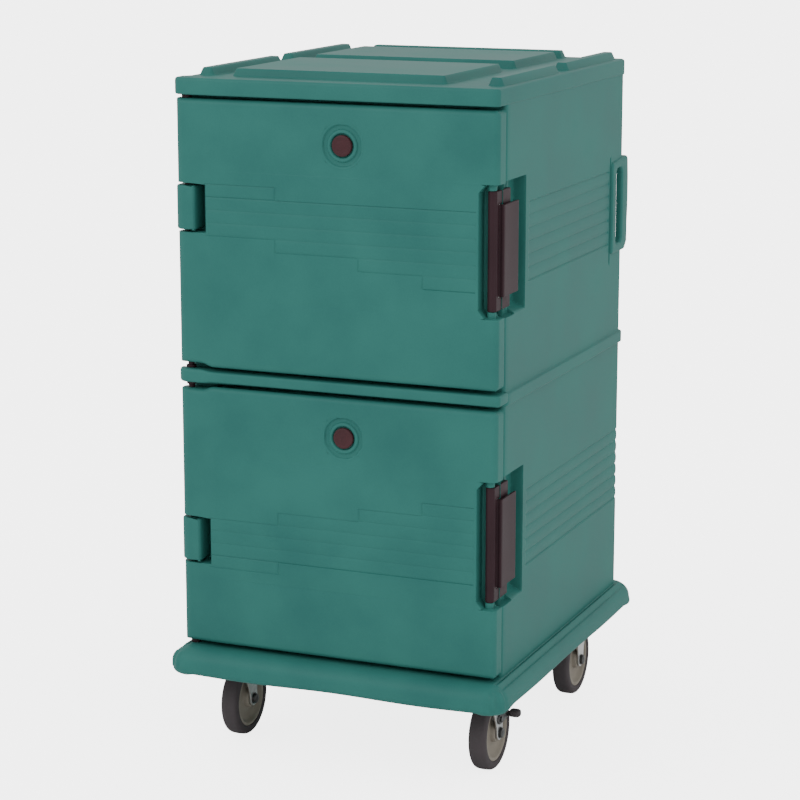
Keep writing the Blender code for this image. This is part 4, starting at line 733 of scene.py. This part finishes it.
def windowed(outer, window, back, front, edge):
    """Rows of a plate with a hole, as plan points and depth: from the back up the outside, over
    its rounded edge, across the face, round the hole's edge and back down inside the hole."""
    turn = np.linspace(0, math.pi / 2, 5)[:, None, None]
    rise, draw = (front - edge + edge * np.sin(turn)), edge * (1 - np.cos(turn))
    out = outer[None] - outward(outer)[None] * draw
    inner = (window[None] + outward(window)[None] * draw)[::-1]
    flat = np.ones((1, len(outer), 1))
    foot, end = outer[None], window[None]
    plan = np.concatenate([foot, out, inner, end, foot])
    depth = np.concatenate([flat * back, rise * flat, rise[::-1] * flat, flat * back, flat * back])
    return np.concatenate([plan, depth], -1)


grip_depth, grip_edge = 0.0135, 0.0055
swell = 0.0035
window_rear = 0.358
for side, word in ((1, "right"), (-1, "left")):
    low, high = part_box(f"{word}_grip")
    face = high.x if side > 0 else -low.x
    rear = high.y - swell
    outline = with_sides(corners(
        (low.y, low.z, 0.006), (high.y - 0.020, low.z, 0.008), (rear, low.z + 0.016, 0.010),
        (rear, high.z, 0.010), (low.y, high.z - 0.009, 0.010)), 6, 14)
    hole = with_sides(corners(
        (hand_y + 0.001, low.z + 0.020, 0.006), (window_rear - 0.008, low.z + 0.020, 0.006),
        (window_rear, low.z + 0.028, 0.006), (window_rear, high.z - 0.021, 0.014),
        (hand_y + 0.001, high.z - 0.024, 0.010)), 6, 14)
    rows = windowed(outline, hole, face - grip_depth, face, grip_edge)
    palm = within(rows[..., 1], low.z + 0.075, high.z - 0.030, 0.050) * ease(rows[..., 0], 0.366, 0.386)
    rows[..., 0] += swell * palm
    rows = np.stack([side * rows[..., 2], rows[..., 0], rows[..., 1]], -1)
    to_cabinet(surface(f"{word}_hand_grip", rows, green, around=True), f"{word}_grip")

# ---- Latches ------------------------------------------------------------------------------------
# Each door's latch hangs on two green posts in the recess of its edge: a round nylon bar with a
# flat windowed plate that lies on the body's seat, and a paddle hinged in the plate's window for
# the fingers. Steel pins run through both.
post_x, post_y = 0.3115, -0.361
nylon = moulded("brown_nylon", (0.036, 0.016, 0.021), (0.024, 0.011, 0.015), 0.34, 0.52)


def turned(profile, centre, axis, turns=64):
    """Rows of a shape turned about a line through centre: radius and place along the line."""
    angle = np.linspace(0, 2 * math.pi, turns, endpoint=False)
    profile = np.array(profile, float)
    across, up = profile[:, :1] * np.cos(angle), profile[:, :1] * np.sin(angle)
    along = np.broadcast_to(profile[:, 1:], across.shape)
    place = {"x": (along, across, up), "y": (across, along, up), "z": (across, up, along)}[axis]
    return np.stack(place, -1) + np.array(centre)


def rounded_rod(radius, low, high, edge):
    """Radius and place along a rod from one end to the other, with a quarter round at each."""
    turn = np.linspace(0, math.pi / 2, 6)
    first = np.stack([radius - edge + edge * np.sin(turn), low + edge * (1 - np.cos(turn))], -1)
    last = np.stack([radius - edge + edge * np.cos(turn), high - edge * (1 - np.sin(turn))], -1)
    return np.concatenate([[[0, low]], first, last, [[0, high]]])


link_radius, link_inner = 0.009, 0.3145
window_front, window_back, window_half = -0.352, -0.328, 0.088
pin_x, pin_y, barrel = 0.3175, -0.344, 0.0055
blade = 0.005  # the paddle's thickness
for level, middle in door_middle.items():
    link_low, link_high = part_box(f"{level}_latch_link")
    link_half = (link_high.z - link_low.z) / 2
    bar = surface(f"{level}_latch_bar", turned(
        rounded_rod(link_radius, -link_half, link_half, 0.002), (post_x, post_y, middle), "z"),
        nylon, around=True)
    plate_front, plate_half = post_y - 0.004, link_half - 0.0005
    plate_ring = with_sides(corners(
        (plate_front, middle - plate_half, 0.0015), (link_high.y, middle - plate_half, 0.003),
        (link_high.y, middle + plate_half, 0.003), (plate_front, middle + plate_half, 0.0015), turns=5), 5, 2)
    window_ring = with_sides(rectangle(
        (window_front, middle - window_half), (window_back, middle + window_half), 0.002, turns=5), 5, 2)
    rows = windowed(plate_ring, window_ring, link_inner, link_high.x, 0.0012)
    plate = surface(f"{level}_latch_plate", rows[..., [2, 0, 1]], nylon, around=True)
    for piece in (bar, plate):
        fit(piece, f"{level}_latch", "brown_nylon", f"{level}_latch_link")
    paddle_low, paddle_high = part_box(f"{level}_latch_paddle")
    paddle_half = (paddle_high.z - paddle_low.z) / 2
    turn = np.linspace(math.radians(50), math.radians(310), 16)
    inner, outer = paddle_high.x - blade, paddle_high.x
    start, end = paddle_low.y, paddle_high.y
    share = np.linspace(0, 1, 12)
    section = np.concatenate([
        np.stack([pin_x + barrel * np.cos(turn), pin_y + barrel * np.sin(turn)], -1),
        [[inner - 0.0006, pin_y - 0.0044], [inner, start + 0.0003], [outer - 0.002, start],
         [outer - 0.0006, start + 0.0006], [outer, start + 0.002]],
        np.stack([outer - 0.0006 * np.sin(math.pi * share[1:]),
                  start + 0.002 + (end - 0.006 - start) * share[1:]], -1),
        [[outer, end - 0.002], [outer - 0.0006, end - 0.0006], [outer - 0.002, end],
         [inner + 0.002, end], [inner + 0.0006, end - 0.0006], [inner, end - 0.002]],
        np.stack([np.full_like(share, inner), end - 0.004 + (pin_y + 0.0084 - end) * share], -1)])
    paddle = surface(f"{level}_paddle", slab(
        section, middle - paddle_half, middle + paddle_half, 0.0009, 0.0009), nylon, around=True)
    fit(paddle, f"{level}_paddle", "brown_nylon", f"{level}_latch_paddle")
    for way, end_word in ((-1, "bottom"), (1, "top")):
        near, far = sorted((way * (link_half + 0.0004), way * (recess_half + 0.002)))
        post = surface(f"{level}_latch_post_{end_word}", turned(
            rounded_rod(0.0085, near, far, 0.0015), (post_x - 0.0008, post_y, middle), "z", 40),
            green, around=True)
        fit(post, f"{level}_door", "green_shell", f"{level}_door_shell")

# ---- Vent caps ----------------------------------------------------------------------------------
# A round nylon cap sits in each vent dish on a stem that slides in the door.
cap_nylon = moulded("red_brown_nylon", (0.085, 0.030, 0.034), (0.034, 0.014, 0.018), 0.38, 0.60)
cap_profile = np.array([
    (0, 0.0002), (0.0090, 0.0004), (0.0120, 0.0009), (0.0135, 0.0007), (0.0160, 0.0001), (0.0185, 0.0003),
    (0.0198, 0.0011), (0.0203, 0.0025), (0.0203, 0.0074), (0.010, 0.0076)])
for level in ("upper", "lower"):
    cap_low, cap_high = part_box(f"{level}_vent_cap")
    profile = np.concatenate([cap_profile + (0, cap_low.y), [(0.010, cap_high.y), (0, cap_high.y)]])
    centre = (vent_x, 0.0, (cap_low.z + cap_high.z) / 2)
    cap = surface(f"{level}_cap", turned(profile, centre, "y"), cap_nylon, around=True)
    fit(cap, f"{level}_vent", "brown_nylon", f"{level}_vent_cap")

# ---- Hinge pins ---------------------------------------------------------------------------------
# Nylon pins join the doors to the body. The four at the doors' ends carry a thrust collar in the
# gap, and the two at the knuckles are plain.
collars = {
    "top_hinge_pin": (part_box("upper_door_shell")[1].z, lid_bottom),
    "rail_upper_pin": (rail_middle + rail_end_half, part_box("upper_door_shell")[0].z),
    "rail_lower_pin": (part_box("lower_door_shell")[1].z, rail_middle - rail_end_half),
    "bottom_hinge_pin": (skirt_top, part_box("lower_door_shell")[0].z),
}
hinge_pin_radius, collar_radius, collar_gap = 0.0065, 0.010, 0.0003
for node in (*collars, "upper_knuckle_pin", "lower_knuckle_pin"):
    pin_low, pin_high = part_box(node)
    profile = rounded_rod(hinge_pin_radius, pin_low.z, pin_high.z, 0.001)
    if node in collars:
        under, over = collars[node][0] + collar_gap, collars[node][1] - collar_gap
        collar = rounded_rod(collar_radius, under, over, 0.0008)[1:-1]
        profile = np.concatenate([profile[:7], [[hinge_pin_radius, under]], collar,
                                  [[hinge_pin_radius, over]], profile[7:]])
    pin = surface(f"turned_{node}", turned(profile, (hinge_x, hinge_y, 0), "z", 40), nylon, around=True)
    fit(pin, "cabinet", "brown_nylon", node)

# ---- Casters ------------------------------------------------------------------------------------
# Four six-inch casters: a rubber tyre on a moulded hub, in a pressed and zinc plated fork. The
# front pair swivel on a ball race under a bolted plate, and the right one has a foot brake.
rubber = moulded("grey_rubber", (0.078, 0.066, 0.070), (0.058, 0.050, 0.053), 0.55, 0.75)
hub_plastic = moulded("beige_hub", (0.300, 0.270, 0.225), (0.225, 0.200, 0.165), 0.42, 0.60)


def metal(name, light, dark, smooth, rough):
    """Plated steel: a mottled grey whose gloss follows the same fine mottle."""
    material, tree, shader = plain_material(name)
    shader.inputs["Metallic"].default_value = 1.0
    mottle = noise(tree, 90.0, 5.0)
    tint(tree, shader, mottle, (0.35, dark), (0.65, light))
    roughen(tree, shader, mottle, smooth, rough)
    return material


zinc = metal("zinc_plate", (0.70, 0.70, 0.69), (0.56, 0.56, 0.55), 0.22, 0.42)
dark_steel = metal("dark_steel", (0.16, 0.16, 0.16), (0.10, 0.10, 0.10), 0.30, 0.50)
tyre_radius, tyre_half, hub_radius = 0.0762, 0.018, 0.058
leg_inner, leg_outer = 0.0195, 0.0235


def tyre_profile():
    """A closed section: tread with a slight crown, round shoulders, flat sides and the bore."""
    turn = np.linspace(0, math.pi / 2, 8)
    shoulder = 0.0085
    right = np.stack([tyre_radius - 0.0006 - shoulder * (1 - np.cos(turn)),
                      tyre_half - shoulder * (1 - np.sin(turn))], -1)
    right = np.concatenate([[[tyre_radius, 0.0], [tyre_radius - 0.0002, 0.005]], right,
                            [[0.0640, tyre_half], [0.0625, tyre_half - 0.0006], [0.0590, tyre_half - 0.0008],
                             [hub_radius + 0.0003, tyre_half - 0.0012]]])
    left = right[::-1] * [1, -1]
    return np.concatenate([right, left])


hub_side = np.array([
    (hub_radius, 0.0), (hub_radius, 0.0150), (0.0572, 0.0160), (0.0550, 0.0163), (0.0528, 0.0160),
    (0.0515, 0.0150), (0.0500, 0.0120), (0.0475, 0.0082), (0.0450, 0.0066), (0.0400, 0.0060),
    (0.0300, 0.0062), (0.0240, 0.0070), (0.0205, 0.0090), (0.0192, 0.0130), (0.0188, 0.0165),
    (0.0176, 0.0180), (0.0120, 0.0184), (0.0063, 0.0184), (0.0063, 0.0)])
hub_section = np.concatenate([hub_side, hub_side[::-1] * [1, -1]])
nut_profile = np.array([
    (0, 0.0), (0.0116, 0.0), (0.0116, 0.0012), (0.0098, 0.0013), (0.0098, 0.0050), (0.0088, 0.0058),
    (0.0055, 0.0059), (0.0054, 0.0066), (0, 0.0068)])
nut_gap, foot_radius = 0.0002, 0.015
race_radius, race_top = 0.034, 0.1741
plate_thickness, axle_radius = 0.005, 0.0059


def fork_leg(wheel_y, foot, front, back, crown):
    """Outline of a fork leg seen from the side: a round foot about the axle, then edges that
    spread in a smooth curve to the crown."""
    turn = np.linspace(math.radians(195), math.radians(345), 14)
    round_foot = np.stack([wheel_y + foot * np.cos(turn), tyre_radius + foot * np.sin(turn)], -1)
    share = np.linspace(0, 1, 12)[1:, None]
    bow = ease(share, 0, 1) * 0.55 + share ** 2 * 0.45
    blend = np.concatenate([bow, share], -1)
    rear, fore = (start + (np.array([end, crown]) - start) * blend
                  for start, end in ((round_foot[-1], back), (round_foot[0], front)))
    return np.concatenate([round_foot, rear, fore[::-1]])


casters = ("front_left", "front_right", "rear_left", "rear_right")
for name in casters:
    swivels = name.startswith("front")
    tyre_low, tyre_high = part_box(f"{name}_tyre")
    fork_low, fork_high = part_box(f"{name}_fork")
    wheel_x, wheel_y = (tyre_low.x + tyre_high.x) / 2, (tyre_low.y + tyre_high.y) / 2
    for piece_name, section, material, node in (
            ("tread", tyre_profile(), rubber, "tyre"), ("wheel_disc", hub_section, hub_plastic, "hub")):
        section = np.concatenate([section, section[:1]])
        piece = surface(f"{name}_{piece_name}", turned(section, (wheel_x, wheel_y, tyre_radius), "x", 96),
                        material, around=True)
        fit(piece, f"{name}_wheel", node, f"{name}_{node}")
    body = f"{name}_caster" if swivels else "cabinet"
    crown_top = 0.164 if swivels else 0.185
    plate_y = wheel_y - 0.024 if swivels else wheel_y
    crown_front, crown_rear = (plate_y - 0.028, plate_y + 0.040) if swivels else (
        plate_y - 0.045, plate_y + 0.045)
    leg_outline = fork_leg(wheel_y, foot_radius, crown_front, crown_rear, crown_top - 0.003)
    steel = []
    for way, word in ((-1, "left"), (1, "right")):
        rows = slab(leg_outline, leg_inner, leg_outer, 0.0008, 0.0012)
        rows = np.stack([wheel_x + way * rows[..., 2], rows[..., 0], rows[..., 1]], -1)
        steel.append(surface(f"{name}_{word}_fork_leg", rows, zinc, around=True))
    crown_ring = rectangle((wheel_x - leg_outer, crown_front), (wheel_x + leg_outer, crown_rear), 0.004)
    steel.append(surface(f"{name}_fork_crown", slab(crown_ring, crown_top - 0.006, crown_top, 0.001, 0.003),
                         zinc, around=True))
    if swivels:
        race = rounded_rod(race_radius, crown_top - 0.001, race_top, 0.003)
        race = turned(race, (wheel_x, plate_y, 0), "z")
        steel.append(surface(f"{name}_lower_race", race, zinc, around=True))
    else:
        plate_ring = rectangle((fork_low.x, fork_low.y), (fork_high.x, fork_high.y), 0.006)
        plate = slab(plate_ring, fork_high.z - plate_thickness, fork_high.z, 0.001, 0.001)
        steel.append(surface(f"{name}_mounting_plate", plate, zinc, around=True))
    for piece in steel:
        fit(piece, body, "zinc", f"{name}_fork")

    axle = []
    for way, word in ((-1, "left"), (1, "right")):
        rows = turned(nut_profile, (0, wheel_y, tyre_radius), "x", 24)
        rows[..., 0] = wheel_x + way * (rows[..., 0] + leg_outer + nut_gap)
        axle.append(surface(f"{name}_{word}_axle_nut", rows, dark_steel, around=True))
    shank = rounded_rod(axle_radius, wheel_x - leg_outer, wheel_x + leg_outer, 0.0005)
    axle.append(surface(f"{name}_axle", turned(shank, (0, wheel_y, tyre_radius), "x", 24),
                        dark_steel, around=True))
    for piece in axle:
        fit(piece, body, "zinc", f"{name}_axle_bolt")

# The brake: a flat steel arm on a pin through the fork, with a rounded rubber foot pad.
pedal_low, pedal_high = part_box("brake_pedal")
brake_y, brake_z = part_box("front_right_tyre")[1].y - tyre_radius - 0.006, tyre_radius + 0.030
arm_x, arm_thickness = pedal_low.x, 0.003
arm_end, pad_start = pedal_high.y - 0.018, pedal_high.y - 0.022
arm = corners(
    (brake_y - 0.010, brake_z - 0.010, 0.008), (brake_y + 0.008, brake_z - 0.010, 0.006),
    (arm_end, brake_z - 0.007, 0.006), (arm_end, brake_z + 0.003, 0.003),
    (brake_y - 0.010, brake_z + 0.010, 0.008), turns=8)
rows = slab(arm, arm_x, arm_x + arm_thickness, 0.0005, 0.0008)
brake_arm = surface("brake_arm", rows[..., [2, 0, 1]], dark_steel, around=True)
pad_ring = corners(
    (arm_x + 0.001, pad_start, 0.006), (pedal_high.x, pad_start, 0.008),
    (pedal_high.x, pedal_high.y, 0.008), (arm_x + 0.001, pedal_high.y, 0.006), turns=8)
pad = slab(pad_ring, brake_z - 0.010, brake_z + 0.004, 0.004, 0.005)
brake_pad = surface("brake_pad", pad, rubber, around=True)
for piece in (brake_arm, brake_pad):
    fit(piece, "brake", "tyre", "brake_pedal")

# ---- Finishes of the other solids ---------------------------------------------------------------
# Bolts, plates and pins are plated steel, the fill plugs are green, each door's seal is soft dark
# rubber, and the foam shows nowhere unless the body is opened.
seal = moulded("seal_rubber", (0.034, 0.034, 0.034), (0.024, 0.024, 0.024), 0.60, 0.80)
foam = moulded("cream_foam", (0.72, 0.64, 0.46), (0.62, 0.54, 0.38), 0.85, 0.98, 0.0020)
finishes = {
    zinc: [f"{name}_backing_plate" for name in casters] + [
        f"front_{side}_{part}" for side in ("left", "right") for part in ("caster_plate", "kingpin")] + [
        f"{level}_{part}" for level in door_middle for part in ("latch_pin", "paddle_pin")],
    dark_steel: ["brake_pivot_pin"],
    green: ["base_fill_plug"] + [f"{level}_door_fill_plug" for level in door_middle],
    seal: [f"{level}_door_gasket" for level in door_middle],
    foam: ["foam_core"] + [f"{level}_door_foam" for level in door_middle],
}
for material, nodes in finishes.items():
    for node in nodes:
        for slot in bpy.data.objects[node].material_slots:
            slot.material = material
